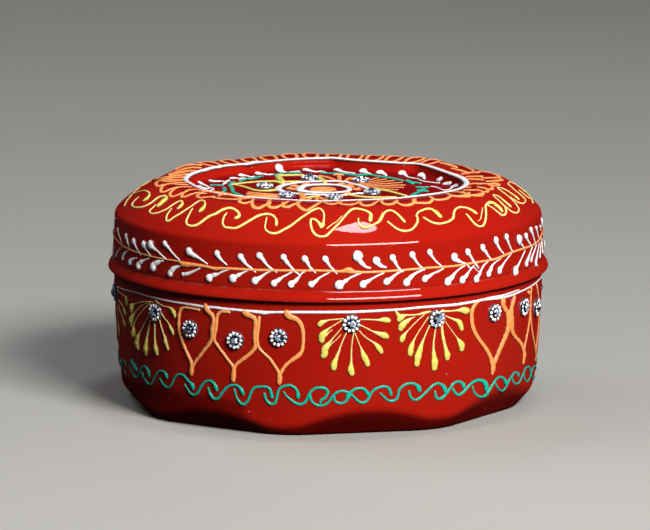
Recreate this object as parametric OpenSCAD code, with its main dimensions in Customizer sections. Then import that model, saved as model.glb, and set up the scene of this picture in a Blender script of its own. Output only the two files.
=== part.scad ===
// Round pressed steel keepsake tin with a lift-off lid and glued crystal ornaments.
// Millimetres, +Z up, origin at the centre of the underside. Front of the tin faces -Y.

/* [Body] */
// Outer radius of the wall just under the shoulder
body_r = 87.6; // [87.0:0.1:87.8]
// Outer radius of the wall where it meets the base facets
body_foot_r = 84.7; // [83.6:0.1:85.4]
// Sheet thickness of both pressings
sheet_t = 0.6; // [0.5:0.05:0.8]
// Distance from the axis to each straight edge of the eight-sided base
base_apothem = 76.0; // [74:0.2:77]
// Height at which each base facet runs out into the round wall
base_facet_h = 11.6; // [9:0.1:13]
// Turn of the eight-sided base about the axis, degrees
base_turn = -10.9; // [-22:0.1:22]
// Depth of the shallow panel pressed up into the underside
base_panel_d = 1.0; // [0.6:0.1:1.6]
// Height of the shoulder that the lid sits over
shoulder_z = 55.5; // [54.9:0.1:55.5]
// Outer radius of the neck inside the lid
neck_r = 85.6; // [85.2:0.1:85.6]
// Height of the rolled rim at the top of the neck
neck_top_z = 73.9; // [66:0.2:75]
// Roll radius of the neck rim
rim_roll_r = 1.1; // [1:0.05:1.3]

/* [Lid] */
// Outer radius of the rolled hem, the widest place of the tin
hem_r = 90.0; // [90:0.1:90.4]
// Inner radius of the rolled hem
hem_inner_r = 86.0; // [86:0.05:86.2]
// Lowest point of the rolled hem
hem_bottom_z = 55.85; // [55.8:0.05:56.3]
// Height of the rolled hem
hem_h = 3.5; // [3.2:0.1:3.8]
// Outer radius of the skirt just over the hem
skirt_bottom_r = 88.3; // [88.1:0.1:88.5]
// Outer radius of the skirt at its top
skirt_top_r = 87.2; // [87.0:0.1:87.4]
// Height of the edge between skirt and sloping shoulder
lid_edge_z = 78.3; // [77.5:0.1:79]
// Height of the eight-sided plateau
plateau_z = 91.1; // [90.5:0.1:91.5]
// Distance from the axis to each straight edge of the plateau
plateau_apothem = 65.9; // [64:0.1:67]
// Slope of the eight shoulder facets, degrees
facet_slope = 25; // [22:0.5:28]
// Turn of the eight-sided plateau about the axis, degrees
plateau_turn = 10; // [-22:0.5:22]
// Radius to the sharp corners of the eight-sided recess in the lid
recess_r = 58; // [56:0.2:60]
// Rounding of those corners
recess_round = 12; // [4:1:20]
// Depth of the recess
recess_d = 4.7; // [4:0.1:5.5]

/* [Crystal ornaments] */
// Outer diameter of each round metal setting
setting_d = 7.4; // [7.2:0.1:7.8]
// Height of a setting's outer wall above the paint
setting_h = 1.35; // [1.3:0.05:1.5]
// Diameter of the centre crystal across its corners
centre_d = 3.4; // [3.2:0.05:3.5]
// Number of small crystals round each centre crystal
ring_n = 11; // [9:1:11]

/* [Hidden] */
eps = 0.01;
// azimuths of the ornaments, degrees from the front, positive to the right,
// set by hand round the wall as two fans, then three hearts, four times over
fan_az = [-80, -52.2, 6, 29.4, 99.5, 124, 187, 211];
fan_z = [46.7, 45.3, 46.7, 46.7, 43.7, 46.7, 46.7, 46.7];
heart_az = [-39, -25, -13, 49.4, 64.3, 75, 140, 153, 166, 229, 243, 257];
heart_z = [41.1, 38.55, 40.75, 45.7, 44.7, 41.8, 41.7, 39.7, 41.7, 42.7, 40.2, 42.2];
// places of the lid ornaments on the recess floor
lid_xy = [[-26.1, 6], [-16.7, -17.3], [2.4, -22.9], [17.8, -10], [13.5, 22], [-7.7, 27.3]];
floor_z = plateau_z - recess_d;
// angle of the base facets from the vertical
base_tilt = atan((body_foot_r - base_apothem) / base_facet_h);
// the straight cone of the wall that carries the ornaments
cone_z = 30.7;
cone_top_z = 52.2;
cone_r = body_foot_r + 1.9;
cone_tilt = atan((body_r - cone_r) / (cone_top_z - cone_z));
function wall_r(z) = cone_r + (body_r - cone_r) * (z - cone_z) / (cone_top_z - cone_z);
// crystals: seat height over the paint, radii
seat_h = 0.45;
setting_r = setting_d / 2;
setting_wall = 0.28;
collet_r = centre_d / 2 + 0.22;
ring_r = (setting_r - setting_wall + collet_r) / 2;
ring_crystal_r = (setting_r - setting_wall - collet_r) / 2 - 0.04;

steel_red = [0.62, 0.07, 0.05];
silver = [0.78, 0.79, 0.80];
crystal = [0.90, 0.94, 0.98, 0.6];

// rounded shoulder of the lid: height of the dome at radius r
function dome_z(r) = lid_edge_z + (plateau_z + 11.6 - lid_edge_z) * (1 - pow(r / skirt_top_r, 3.67));

// outline points of the body, outside, inset by t
function body_pts(t) = concat(
  [[0, t], [body_foot_r - 1.2 - t, t]],
  [[body_foot_r - 0.3 - t, t + 2.4], [body_foot_r - t, 9.5]],
  [[body_foot_r + 0.9 - t, 17.7], [cone_r - t, cone_z], [body_r - t, cone_top_z]],
  [for (a = [0 : 15 : 90]) [body_r - 1.2 + (1.2 - (t > 0 ? t * 0.5 : 0)) * cos(a) - t * 0.5, shoulder_z - 1.2 - t + 1.2 * sin(a)]]);

module base_cutters(t) {
  for (k = [0 : 7])
    rotate([0, 0, base_turn + 22.5 + 45 * k])
      translate([base_apothem, 0, 0])
        rotate([0, base_tilt, 0])
          translate([-t, -60, -30]) cube([40, 120, 70]);
}

module body_outer() {
  difference() {
    rotate_extrude($fn = 180)
      polygon(concat(body_pts(0), [[neck_r + 0.3, shoulder_z], [neck_r, shoulder_z + 0.3], [neck_r, neck_top_z - rim_roll_r]],
        [for (a = [15 : 15 : 180]) [neck_r - rim_roll_r + rim_roll_r * cos(a), neck_top_z - rim_roll_r + rim_roll_r * sin(a)]],
        [[0, neck_top_z - rim_roll_r]]));
    base_cutters(0);
  }
}

module body_shell() {
  color(steel_red)
  difference() {
    body_outer();
    // hollow of the tub, below the neck
    difference() {
      rotate_extrude($fn = 180)
        polygon(concat(body_pts(sheet_t),
          [[neck_r - sheet_t, shoulder_z - sheet_t], [neck_r - sheet_t, neck_top_z - 2 * rim_roll_r - 0.6],
           [neck_r - 2 * rim_roll_r, neck_top_z - 2 * rim_roll_r],
           [neck_r - 2 * rim_roll_r, neck_top_z - rim_roll_r + eps],
           [neck_r - 2 * rim_roll_r - 0.4, neck_top_z + 3], [0, neck_top_z + 3]]));
      base_cutters(sheet_t);
      // panel pressed up from the underside
      rotate([0, 0, base_turn]) cylinder(r = 52 + sheet_t, h = base_panel_d + sheet_t, $fn = 8);
    }
    rotate([0, 0, base_turn]) translate([0, 0, -1]) cylinder(r = 52, h = base_panel_d + 1, $fn = 8);
  }
}

// sloping planes of the lid's shoulder, moved in by t
module lid_cutters(t) {
  for (k = [0 : 7])
    rotate([0, 0, plateau_turn + 22.5 + 45 * k])
      translate([plateau_apothem, 0, plateau_z])
        rotate([0, facet_slope, 0])
          translate([-20, -60, -t]) cube([70, 120, 30]);
}

// round outline of the lid over its edge, inset by t
function lid_round(t) = concat(
  [for (r = [skirt_top_r - 0.6 : -1.6 : 60]) if (dome_z(r) < plateau_z) [r - t, dome_z(r) - t * 0.5]],
  [[60, plateau_z - t], [0, plateau_z - t]]);

// prism under the opening of the recess: an octagon with sharp-corner radius r, corners rounded by f
module recess(r, f) {
  linear_extrude(height = 20)
    polygon([for (k = [0 : 7]) for (a = [-22.5 : 7.5 : 22.5])
      (r - f / cos(22.5)) * [cos(45 * k), sin(45 * k)] + f * [cos(45 * k + a), sin(45 * k + a)]]);
}

module lid_outer() {
  difference() {
    rotate_extrude($fn = 180)
      polygon(concat([[0, hem_bottom_z + hem_h - 0.5], [skirt_bottom_r, hem_bottom_z + hem_h - 0.5], [skirt_bottom_r, hem_bottom_z + hem_h + 0.3],
        [skirt_top_r, lid_edge_z - 0.8], [skirt_top_r - 0.15, lid_edge_z]], lid_round(0)));
    lid_cutters(0);
    translate([0, 0, floor_z]) recess(recess_r, recess_round);
  }
}

// rolled hem: the sheet turns out, under and up inside
function hem_c() = [(hem_r + hem_inner_r) / 2, hem_bottom_z + hem_h / 2];
function hem_pts(t) = [for (a = [100 : -15 : -215]) [hem_c()[0] + ((hem_r - hem_inner_r) / 2 - t) * cos(a), hem_c()[1] + (hem_h / 2 - t) * sin(a)]];
function rev(v) = [for (i = [len(v) - 1 : -1 : 0]) v[i]];

module lid_shell() {
  color(steel_red)
  union() {
    difference() {
      lid_outer();
      difference() {
        rotate_extrude($fn = 180)
          polygon(concat([[0, hem_bottom_z - 1], [skirt_bottom_r - sheet_t, hem_bottom_z - 1],
            [skirt_bottom_r - sheet_t, hem_bottom_z + hem_h + 0.3], [skirt_top_r - sheet_t, lid_edge_z - 0.8], [skirt_top_r - 0.2 - sheet_t, lid_edge_z - 0.3]],
            lid_round(sheet_t)));
        lid_cutters(sheet_t);
        translate([0, 0, floor_z - sheet_t]) recess(recess_r + sheet_t * 1.08, recess_round + sheet_t);
      }
    }
    rotate_extrude($fn = 180) polygon(concat(hem_pts(0), rev(hem_pts(sheet_t))));
  }
}

// ornament frames: child is drawn with +Z standing out of the surface
module on_wall(az, z) rotate([0, 0, az - 90]) translate([wall_r(z), 0, z]) rotate([0, 90 + cone_tilt, 0]) children();
// the stretch of wall behind the ornaments
module wall_cone() translate([0, 0, cone_z]) cylinder(r1 = cone_r, r2 = body_r, h = cone_top_z - cone_z, $fn = 720);
module at_fans() for (i = [0 : len(fan_az) - 1]) on_wall(fan_az[i], fan_z[i]) children();
module at_hearts() for (i = [0 : len(heart_az) - 1]) on_wall(heart_az[i], heart_z[i]) children();
module at_lid() for (p = lid_xy) translate([p[0], p[1], floor_z]) children();

// metal setting: a cup with an outer wall and a collet round the centre crystal, base let down by b
module setting(b) {
  rotate_extrude($fn = 40)
    polygon([[0, -b], [setting_r, -b], [setting_r, setting_h], [setting_r - setting_wall, setting_h],
      [setting_r - setting_wall, seat_h], [collet_r, seat_h], [collet_r, seat_h + 1.2],
      [collet_r - 0.16, seat_h + 1.2], [collet_r - 0.16, seat_h], [0, seat_h]]);
}

// cut centre crystal: a straight girdle under a sloping crown with a flat table
module centre_crystal() {
  translate([0, 0, seat_h]) cylinder(d = centre_d, h = 1.1, $fn = 8);
  translate([0, 0, seat_h + 1.1]) cylinder(d1 = centre_d, d2 = centre_d * 0.62, h = 0.55, $fn = 8);
}

module ring_crystals() {
  for (k = [0 : ring_n - 1])
    rotate([0, 0, k * 360 / ring_n]) translate([ring_r, 0, seat_h])
      cylinder(r = ring_crystal_r, h = 1.05, $fn = 6);
}

module fan_settings() color(silver) difference() { at_fans() setting(0.3); wall_cone(); }
module fan_centre_crystals() color(crystal) at_fans() centre_crystal();
module fan_ring_crystals() color(crystal) at_fans() ring_crystals();
module heart_settings() color(silver) difference() { at_hearts() setting(0.3); wall_cone(); }
module heart_centre_crystals() color(crystal) at_hearts() centre_crystal();
module heart_ring_crystals() color(crystal) at_hearts() ring_crystals();
module lid_settings() color(silver) at_lid() setting(0);
module lid_centre_crystals() color(crystal) at_lid() centre_crystal();
module lid_ring_crystals() color(crystal) at_lid() ring_crystals();

body_shell();
lid_shell();
fan_settings();
fan_centre_crystals();
fan_ring_crystals();
heart_settings();
heart_centre_crystals();
heart_ring_crystals();
lid_settings();
lid_centre_crystals();
lid_ring_crystals();
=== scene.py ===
import math
import bpy
import numpy as np
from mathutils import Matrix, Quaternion, Vector


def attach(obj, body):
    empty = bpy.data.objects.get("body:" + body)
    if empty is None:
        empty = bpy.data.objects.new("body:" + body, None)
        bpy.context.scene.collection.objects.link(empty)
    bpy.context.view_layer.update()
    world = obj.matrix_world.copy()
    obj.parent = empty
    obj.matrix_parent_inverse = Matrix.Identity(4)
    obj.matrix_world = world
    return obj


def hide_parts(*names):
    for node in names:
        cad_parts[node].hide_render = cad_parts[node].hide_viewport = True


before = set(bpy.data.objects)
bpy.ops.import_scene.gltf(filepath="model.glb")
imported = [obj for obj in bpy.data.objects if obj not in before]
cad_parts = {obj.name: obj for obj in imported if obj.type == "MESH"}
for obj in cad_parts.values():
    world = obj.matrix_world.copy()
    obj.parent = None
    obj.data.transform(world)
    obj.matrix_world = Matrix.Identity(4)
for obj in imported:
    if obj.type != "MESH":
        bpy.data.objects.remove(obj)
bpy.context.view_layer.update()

# Round pressed steel keepsake tin: lacquered shells, piped paint ornament, glued crystals.
# Lengths in this script are millimetres and are turned into metres when a mesh is made.
# Heights are drawn from a level LIFT above the underside.
MM = 0.001
LIFT = 0.7
rng = np.random.default_rng(20)

# ----------------------------------------------------------------------------
# Camera at the photograph's viewing angle
# ----------------------------------------------------------------------------
CAM_F = 6242.8 / 650.0 * 36.0
CAM_PITCH = 0.1699
CAM_POS = np.array([-1.29, -2520.1, 486.9])

cam_data = bpy.data.cameras.new("camera")
cam = bpy.data.objects.new("camera", cam_data)
bpy.context.scene.collection.objects.link(cam)
cam_data.sensor_fit = "HORIZONTAL"
cam_data.sensor_width = 36.0
cam_data.lens = CAM_F
cam_data.clip_start = 0.05
cam_data.clip_end = 60.0
cam.location = Vector((CAM_POS + [0, 0, LIFT]) * MM)
cam.rotation_euler = (math.pi / 2 - CAM_PITCH, 0.0, 0.0)
bpy.context.scene.camera = cam


# ----------------------------------------------------------------------------
# Shape of the two pressings
# ----------------------------------------------------------------------------
def smin(a, b, k):
    h = np.clip(0.5 + 0.5 * (b - a) / k, 0.0, 1.0)
    return b * (1 - h) + a * h - k * h * (1 - h)


def oct_q(r, th, turn, k):
    """Distance along the normal of the nearest facet of an octagon with corners at turn + 45 n."""
    d = np.mod(np.degrees(th) - turn - 22.5, 45.0)
    d = np.minimum(d, 45.0 - d)
    q1 = r * np.cos(np.radians(d))
    q2 = r * np.cos(np.radians(45.0 - d))
    return -smin(-q1, -q2, k)


def hermite(xs, ys, x):
    """Smooth monotone curve through points."""
    xs = np.asarray(xs, float); ys = np.asarray(ys, float)
    h = np.diff(xs); s = np.diff(ys) / h
    m = np.zeros(len(xs))
    m[0] = s[0]; m[-1] = s[-1]
    for i in range(1, len(xs) - 1):
        m[i] = 0.0 if s[i - 1] * s[i] <= 0 else 2 * s[i - 1] * s[i] / (s[i - 1] + s[i])
    x = np.clip(np.asarray(x, float), xs[0], xs[-1])
    i = np.clip(np.searchsorted(xs, x, side="right") - 1, 0, len(xs) - 2)
    t = (x - xs[i]) / h[i]
    return ((2 * t**3 - 3 * t**2 + 1) * ys[i] + (t**3 - 2 * t**2 + t) * h[i] * m[i]
            + (-2 * t**3 + 3 * t**2) * ys[i + 1] + (t**3 - t**2) * h[i] * m[i + 1])


# body
BASE_APO = 75.8
BASE_K = (84.7 - 75.8) / 10.9
# the eight facets of the foot are pressed unevenly: (direction, distance beyond BASE_APO)
FACETS = ((11.6, -1.8), (56.6, 0.3), (101.6, 1.0), (146.6, 1.8), (191.6, 2.66), (236.6, 2.7), (281.6, 0.86), (326.6, -0.38))
Z_BOT = -LIFT
Z_SHOULDER = 54.8


def round_r(z):
    return hermite([-2, 0, 4, 8.8, 17, 30, 51.5, 56], [83.6, 84.0, 84.4, 84.75, 85.65, 86.62, 87.6, 87.62], z)


def body_r(z, th):
    rr = round_r(z)
    acc = None
    for c, off in FACETS:
        cs = np.cos(th - math.radians(c))
        v = np.where(cs > 0.3, (BASE_APO + off + BASE_K * z) / np.maximum(cs, 0.3), 1e3)
        acc = v if acc is None else smin(acc, v, 8.8)
    # rounded corners between neighbouring facets, then a soft run-out into the round wall
    return smin(rr, acc, 1.5)


# lid
L_APO, L_TURN, L_SLOPE = 65.89, 10.05, 24.97
L_B, L_N, L_ZS, L_RS, L_ZP = 24.48, 3.671, 77.6, 87.2, 90.4
REC_D = 4.7
FLOOR_Z = L_ZP - REC_D
# middle of the bead round the recess: an octagon with rounded, uneven sides (azimuth, radius)
REC_RIM = np.array([(2.5, 54.9), (11, 53.1), (22, 52.1), (33, 52.9), (42.7, 54.7), (47.8, 55.4), (55, 52.4), (62.4, 51.3), (70, 51.1), (77.5, 51.9), (83, 53.9), (88, 56.2), (93.5, 55.8),
                    (102, 55.3), (109, 54.4), (114, 53.6), (119.4, 53.3), (127.7, 53.1), (133, 53.5), (138, 54.5), (143.5, 55.6), (150, 56.1), (158, 56.8), (168, 57.8), (175, 58.1), (183, 58.2),
                    (191, 57.0), (199, 56.7), (207.6, 56.8), (215, 57.1), (221, 57.0), (236, 55.5), (251.5, 54.8), (258, 55.3), (266.6, 55.5), (275, 54.7), (283.5, 54.6), (292, 55.2), (301, 56),
                    (311, 56.7), (318, 57.7), (327, 58.6), (333, 59.1), (340, 58.5), (349, 57.4), (355, 56.3)])


def lid_top_z(r, th):
    """Height of the lid outside the recess, up to r = 84."""
    q = oct_q(r, th, L_TURN, 1.1)
    pl = L_ZP - math.tan(math.radians(L_SLOPE)) * (q - L_APO)
    rd = L_ZS + L_B * (1 - np.clip(r / L_RS, 0, 1.2) ** L_N)
    # the plateau sinks a little towards the recess
    u = np.clip((65.0 - r) / 8.5, 0.0, 1.0)
    return smin(L_ZP + 0 * r, smin(pl, rd, 1.63), 1.63) - 0.5 * u * u * (3 - 2 * u)


def periodic(table, deg):
    """Smooth closed curve through (degrees, value) points."""
    x = np.concatenate([table[-4:, 0] - 360, table[:, 0], table[:4, 0] + 360])
    y = np.concatenate([table[-4:, 1], table[:, 1], table[:4, 1]])
    s = np.gradient(y, x)
    d = np.mod(deg, 360.0)
    i = np.clip(np.searchsorted(x, d, side="right") - 1, 0, len(x) - 2)
    h = x[i + 1] - x[i]; t = (d - x[i]) / h
    return ((2 * t**3 - 3 * t**2 + 1) * y[i] + (t**3 - 2 * t**2 + t) * h * s[i]
            + (-2 * t**3 + 3 * t**2) * y[i + 1] + (t**3 - t**2) * h * s[i + 1])


def rec_rho(th):
    """Edge of the recess at azimuth th."""
    return periodic(REC_RIM, np.degrees(th)) - 0.75


# draft of the recess wall; width and height of the soft fillet at its foot
DRAFT, FIL_W, FIL_H = 0.75, 3.4, 2.0


def floor_z(r, th):
    """Floor of the recess and the fillet round it."""
    u = np.clip(1 - (rec_rho(th) - DRAFT - r) / FIL_W, 0.0, math.sin(math.radians(75)))
    return FLOOR_Z + FIL_H * (1 - np.sqrt(1 - u * u))


def skirt_r(z):
    return hermite([59.4, 62, 70, 77.3], [88.3, 88.12, 87.66, 87.22], z)


def edge_curve():
    """Rounded edge between the sloping shoulder and the skirt."""
    pts = np.array([(84.0, 80.72), (84.8, 79.95), (85.6, 79.17), (86.3, 78.5), (86.62, 78.15), (86.82, 77.84), (86.99, 77.48), (87.13, 77.12), (87.22, 76.72), (87.28, 76.2)])
    return catmull(pts, 6)


def catmull(p, n):
    p = np.asarray(p, float)
    q = np.vstack([2 * p[0] - p[1], p, 2 * p[-1] - p[-2]])
    out = []
    for i in range(1, len(q) - 2):
        t = np.linspace(0, 1, n, endpoint=False)[:, None]
        a, b, c, d = q[i - 1], q[i], q[i + 1], q[i + 2]
        out.append(0.5 * (2 * b + (c - a) * t + (2 * a - 5 * b + 4 * c - d) * t**2 + (-a + 3 * b - 3 * c + d) * t**3))
    out.append(q[-2][None, :])
    return np.vstack(out)


# ----------------------------------------------------------------------------
# Mesh helpers
# ----------------------------------------------------------------------------
def make_object(name, verts, faces, mats, mat_idx=None, smooth=True, attrs=None):
    me = bpy.data.meshes.new(name)
    verts = (np.asarray(verts, float) + [0, 0, LIFT]) * MM
    me.from_pydata(verts.tolist(), [], [tuple(int(i) for i in f) for f in faces])
    for m in mats:
        me.materials.append(m)
    if mat_idx is not None:
        me.polygons.foreach_set("material_index", np.asarray(mat_idx, np.int32))
    me.polygons.foreach_set("use_smooth", np.full(len(me.polygons), bool(smooth)))
    for key, (domain, kind, data) in (attrs or {}).items():
        a = me.attributes.new(key, kind, domain)
        if kind == "FLOAT":
            a.data.foreach_set("value", np.asarray(data, np.float32))
        else:
            a.data.foreach_set("color", np.asarray(data, np.float32).ravel())
    me.update()
    o = bpy.data.objects.new(name, me)
    bpy.context.scene.collection.objects.link(o)
    return o


def shell(name, P, t, mats, split_row, out_sign, shade_mark=None):
    """Closed sheet-metal shell. P[s, theta] is the outer surface from the axis outwards; the inner one is offset by t."""
    ns, nt = P.shape[:2]
    ds = np.gradient(P, axis=0)
    dt = np.roll(P, -1, 1) - np.roll(P, 1, 1)
    N = np.cross(dt, ds)
    N[0] = N[1]
    N /= np.maximum(np.linalg.norm(N, axis=2, keepdims=True), 1e-9)
    N *= out_sign
    Q = P - N * t
    Q[0] = P[0] - np.array([0, 0, t * math.copysign(1.0, N[1, 0, 2])])
    verts = [P[0].mean(0)[None], P[1:].reshape(-1, 3), Q[0].mean(0)[None], Q[1:].reshape(-1, 3)]
    base2 = 1 + (ns - 1) * nt
    V = np.vstack(verts)
    j = np.arange(nt); jn = (j + 1) % nt

    def idx(b, i):
        return b + 1 + (i - 1) * nt

    faces = []
    midx = []
    flip = out_sign > 0
    for side, b in ((0, 0), (1, base2)):
        fan = np.stack([np.full(nt, b), idx(b, 1) + j, idx(b, 1) + jn], 1)
        fan = fan if (side == 0) != flip else fan[:, ::-1]
        faces += fan.tolist(); midx += [0 if side == 0 else 1] * nt
        for i in range(1, ns - 1):
            q = np.stack([idx(b, i) + j, idx(b, i + 1) + j, idx(b, i + 1) + jn, idx(b, i) + jn], 1)
            q = q if (side == 0) != flip else q[:, ::-1]
            faces += q.tolist()
            midx += [(0 if i < split_row else 1) if side == 0 else 1] * nt
    a = idx(0, ns - 1); b = idx(base2, ns - 1)
    q = np.stack([a + j, b + j, b + jn, a + jn], 1)
    q = q if not flip else q[:, ::-1]
    faces += q.tolist(); midx += [1 if split_row < ns else 0] * nt
    attrs = None
    # the foot attribute carries the painted shade of the foot
    if shade_mark is not None:
        w = np.concatenate([shade_mark[0, :1], shade_mark[1:].ravel()])
        attrs = {"foot": ("POINT", "FLOAT", np.concatenate([w, w]))}
    return make_object(name, V, faces, mats, midx, True, attrs)


# ----------------------------------------------------------------------------
# Materials
# ----------------------------------------------------------------------------
def new_mat(name):
    m = bpy.data.materials.new(name)
    m.use_nodes = True
    nt = m.node_tree
    nt.nodes.clear()
    out = nt.nodes.new("ShaderNodeOutputMaterial")
    bsdf = nt.nodes.new("ShaderNodeBsdfPrincipled")
    nt.links.new(bsdf.outputs["BSDF"], out.inputs["Surface"])
    return m, nt, bsdf


def N(nt, kind, **kw):
    n = nt.nodes.new(kind)
    for k, v in kw.items():
        if k in n.inputs:
            n.inputs[k].default_value = v
        else:
            setattr(n, k, v)
    return n


def noise(nt, vec, scale, detail=3.0, rough=0.5, dist=0.0):
    n = N(nt, "ShaderNodeTexNoise")
    n.inputs["Scale"].default_value = scale
    n.inputs["Detail"].default_value = detail
    n.inputs["Roughness"].default_value = rough
    n.inputs["Distortion"].default_value = dist
    nt.links.new(vec, n.inputs["Vector"])
    return n.outputs["Fac"]


def ramp(nt, fac, stops):
    n = N(nt, "ShaderNodeValToRGB")
    cr = n.color_ramp
    while len(cr.elements) > 1:
        cr.elements.remove(cr.elements[-1])
    cr.elements[0].position = stops[0][0]
    cr.elements[0].color = stops[0][1]
    for p, c in stops[1:]:
        e = cr.elements.new(p)
        e.color = c
    nt.links.new(fac, n.inputs["Fac"])
    return n.outputs["Color"]


def grey(v):
    return (v, v, v, 1.0)


def mixc(nt, fac, a, b, mode="MIX"):
    n = N(nt, "ShaderNodeMix", data_type="RGBA", blend_type=mode)
    for sock, val in ((n.inputs[0], fac), (n.inputs[6], a), (n.inputs[7], b)):
        if isinstance(val, (tuple, list, float, int)):
            sock.default_value = val
        else:
            nt.links.new(val, sock)
    return n.outputs[2]


def math_n(nt, op, a, b=0.0, clamp=False):
    n = N(nt, "ShaderNodeMath", operation=op, use_clamp=clamp)
    for i, val in enumerate((a, b)):
        if isinstance(val, (float, int)):
            n.inputs[i].default_value = float(val)
        else:
            nt.links.new(val, n.inputs[i])
    return n.outputs[0]


def coords(nt):
    return N(nt, "ShaderNodeTexCoord").outputs["Object"]


def bump(nt, height, strength, distance, prev=None):
    b = N(nt, "ShaderNodeBump")
    b.inputs["Strength"].default_value = strength
    b.inputs["Distance"].default_value = distance
    nt.links.new(height, b.inputs["Height"])
    if prev is not None:
        nt.links.new(prev, b.inputs["Normal"])
    return b.outputs["Normal"]


def enamel(name, dust_z, foot=False, recess_dull_and_shade=None):
    """Deep glossy red stove enamel over steel, with faint flow waviness, specks and dust in the corners, and painted
    shade darkening the foot and the recess.
    """
    m, nt, b = new_mat(name)
    L = nt.links.new
    co = coords(nt)
    big = noise(nt, co, 18.0, 2.0, 0.5)
    base = ramp(nt, big, [(0.3, (0.30, 0.0064, 0.0025, 1)), (0.7, (0.335, 0.0098, 0.0038, 1))])
    fine = noise(nt, co, 1400.0, 2.0, 0.6)
    base = mixc(nt, ramp(nt, fine, [(0.55, grey(0.0)), (0.75, grey(0.22))]), base, (0.26, 0.0045, 0.002, 1))
    # painted shade and dark reflection: the colour is darkened low on the foot, from the foot attribute with a ragged
    # edge, and the coat is made weaker there
    if foot:
        painted_foot_shade = N(nt, "ShaderNodeAttribute", attribute_name="foot").outputs["Fac"]
        jag = noise(nt, co, 45.0, 3.0, 0.6)
        painted_foot_shade = math_n(nt, "ADD", painted_foot_shade, math_n(nt, "MULTIPLY", math_n(nt, "SUBTRACT", jag, 0.5), 0.16), True)
        painted_foot_shade = ramp(nt, painted_foot_shade, [(0.06, grey(0.0)), (0.3, grey(0.62)), (1.0, grey(0.88))])
        base = mixc(nt, painted_foot_shade, base, (0.08, 0.0022, 0.0012, 1))
        dull = math_n(nt, "SUBTRACT", 1.0, math_n(nt, "MULTIPLY", painted_foot_shade, 0.85))
    if recess_dull_and_shade is not None:
        # the recess is less glossy than the outside
        sp = N(nt, "ShaderNodeSeparateXYZ")
        L(co, sp.inputs["Vector"])
        rad2 = math_n(nt, "ADD", math_n(nt, "MULTIPLY", sp.outputs["X"], sp.outputs["X"]), math_n(nt, "MULTIPLY", sp.outputs["Y"], sp.outputs["Y"]))
        inside = math_n(nt, "LESS_THAN", rad2, (recess_dull_and_shade[0] * MM) ** 2)
        dull = math_n(nt, "SUBTRACT", 1.0, math_n(nt, "MULTIPLY", inside, 0.85))
        # mask for the painted shade and dark reflection on the floor of the recess
        lo = N(nt, "ShaderNodeMapRange", clamp=True)
        lo.inputs["From Min"].default_value = (recess_dull_and_shade[1] + 0.25 + LIFT) * MM
        lo.inputs["From Max"].default_value = (recess_dull_and_shade[1] + 1.6 + LIFT) * MM
        lo.inputs["To Min"].default_value = 1.0
        lo.inputs["To Max"].default_value = 0.0
        L(sp.outputs["Z"], lo.inputs["Value"])
        mottled = ramp(nt, noise(nt, co, 70.0, 3.0, 0.6), [(0.3, grey(0.55)), (0.7, grey(0.9))])
        # painted shade and dark reflection, mottled, on the narrow flat round the recess and on the recess floor
        hi = N(nt, "ShaderNodeMapRange", clamp=True)
        hi.inputs["From Min"].default_value = (recess_dull_and_shade[2] - 0.42 + LIFT) * MM
        hi.inputs["From Max"].default_value = (recess_dull_and_shade[2] - 0.2 + LIFT) * MM
        L(sp.outputs["Z"], hi.inputs["Value"])
        base = mixc(nt, math_n(nt, "MULTIPLY", hi.outputs[0], mottled), base, (0.15, 0.001, 0.005, 1))
        base = mixc(nt, math_n(nt, "MULTIPLY", math_n(nt, "MULTIPLY", inside, lo.outputs[0]), mottled), base, (0.13, 0.001, 0.004, 1))
    # lighter specks of lint and overspray
    v = N(nt, "ShaderNodeTexVoronoi", feature="F1")
    v.inputs["Scale"].default_value = 190.0
    v.inputs["Randomness"].default_value = 1.0
    L(co, v.inputs["Vector"])
    cell = N(nt, "ShaderNodeSeparateColor")
    L(v.outputs["Color"], cell.inputs["Color"])
    rare = math_n(nt, "GREATER_THAN", cell.outputs[0], 0.93)
    dot = math_n(nt, "LESS_THAN", v.outputs["Distance"], 0.065)
    speck = math_n(nt, "MULTIPLY", rare, dot)
    base = mixc(nt, math_n(nt, "MULTIPLY", speck, 0.45), base, (0.75, 0.42, 0.36, 1))
    # dust line in a corner
    sep = N(nt, "ShaderNodeSeparateXYZ")
    L(co, sep.inputs["Vector"])
    zd = math_n(nt, "ABSOLUTE", math_n(nt, "SUBTRACT", sep.outputs["Z"], (dust_z + LIFT) * MM))
    near = N(nt, "ShaderNodeMapRange", clamp=True)
    near.inputs["From Min"].default_value = 0.0
    near.inputs["From Max"].default_value = 0.00045
    near.inputs["To Min"].default_value = 1.0
    near.inputs["To Max"].default_value = 0.0
    L(zd, near.inputs["Value"])
    dn = ramp(nt, noise(nt, co, 260.0, 4.0, 0.7), [(0.46, grey(0.0)), (0.72, grey(0.42))])
    dust = math_n(nt, "MULTIPLY", near.outputs[0], dn)
    base = mixc(nt, dust, base, (0.30, 0.20, 0.16, 1))
    L(base, b.inputs["Base Color"])
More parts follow.
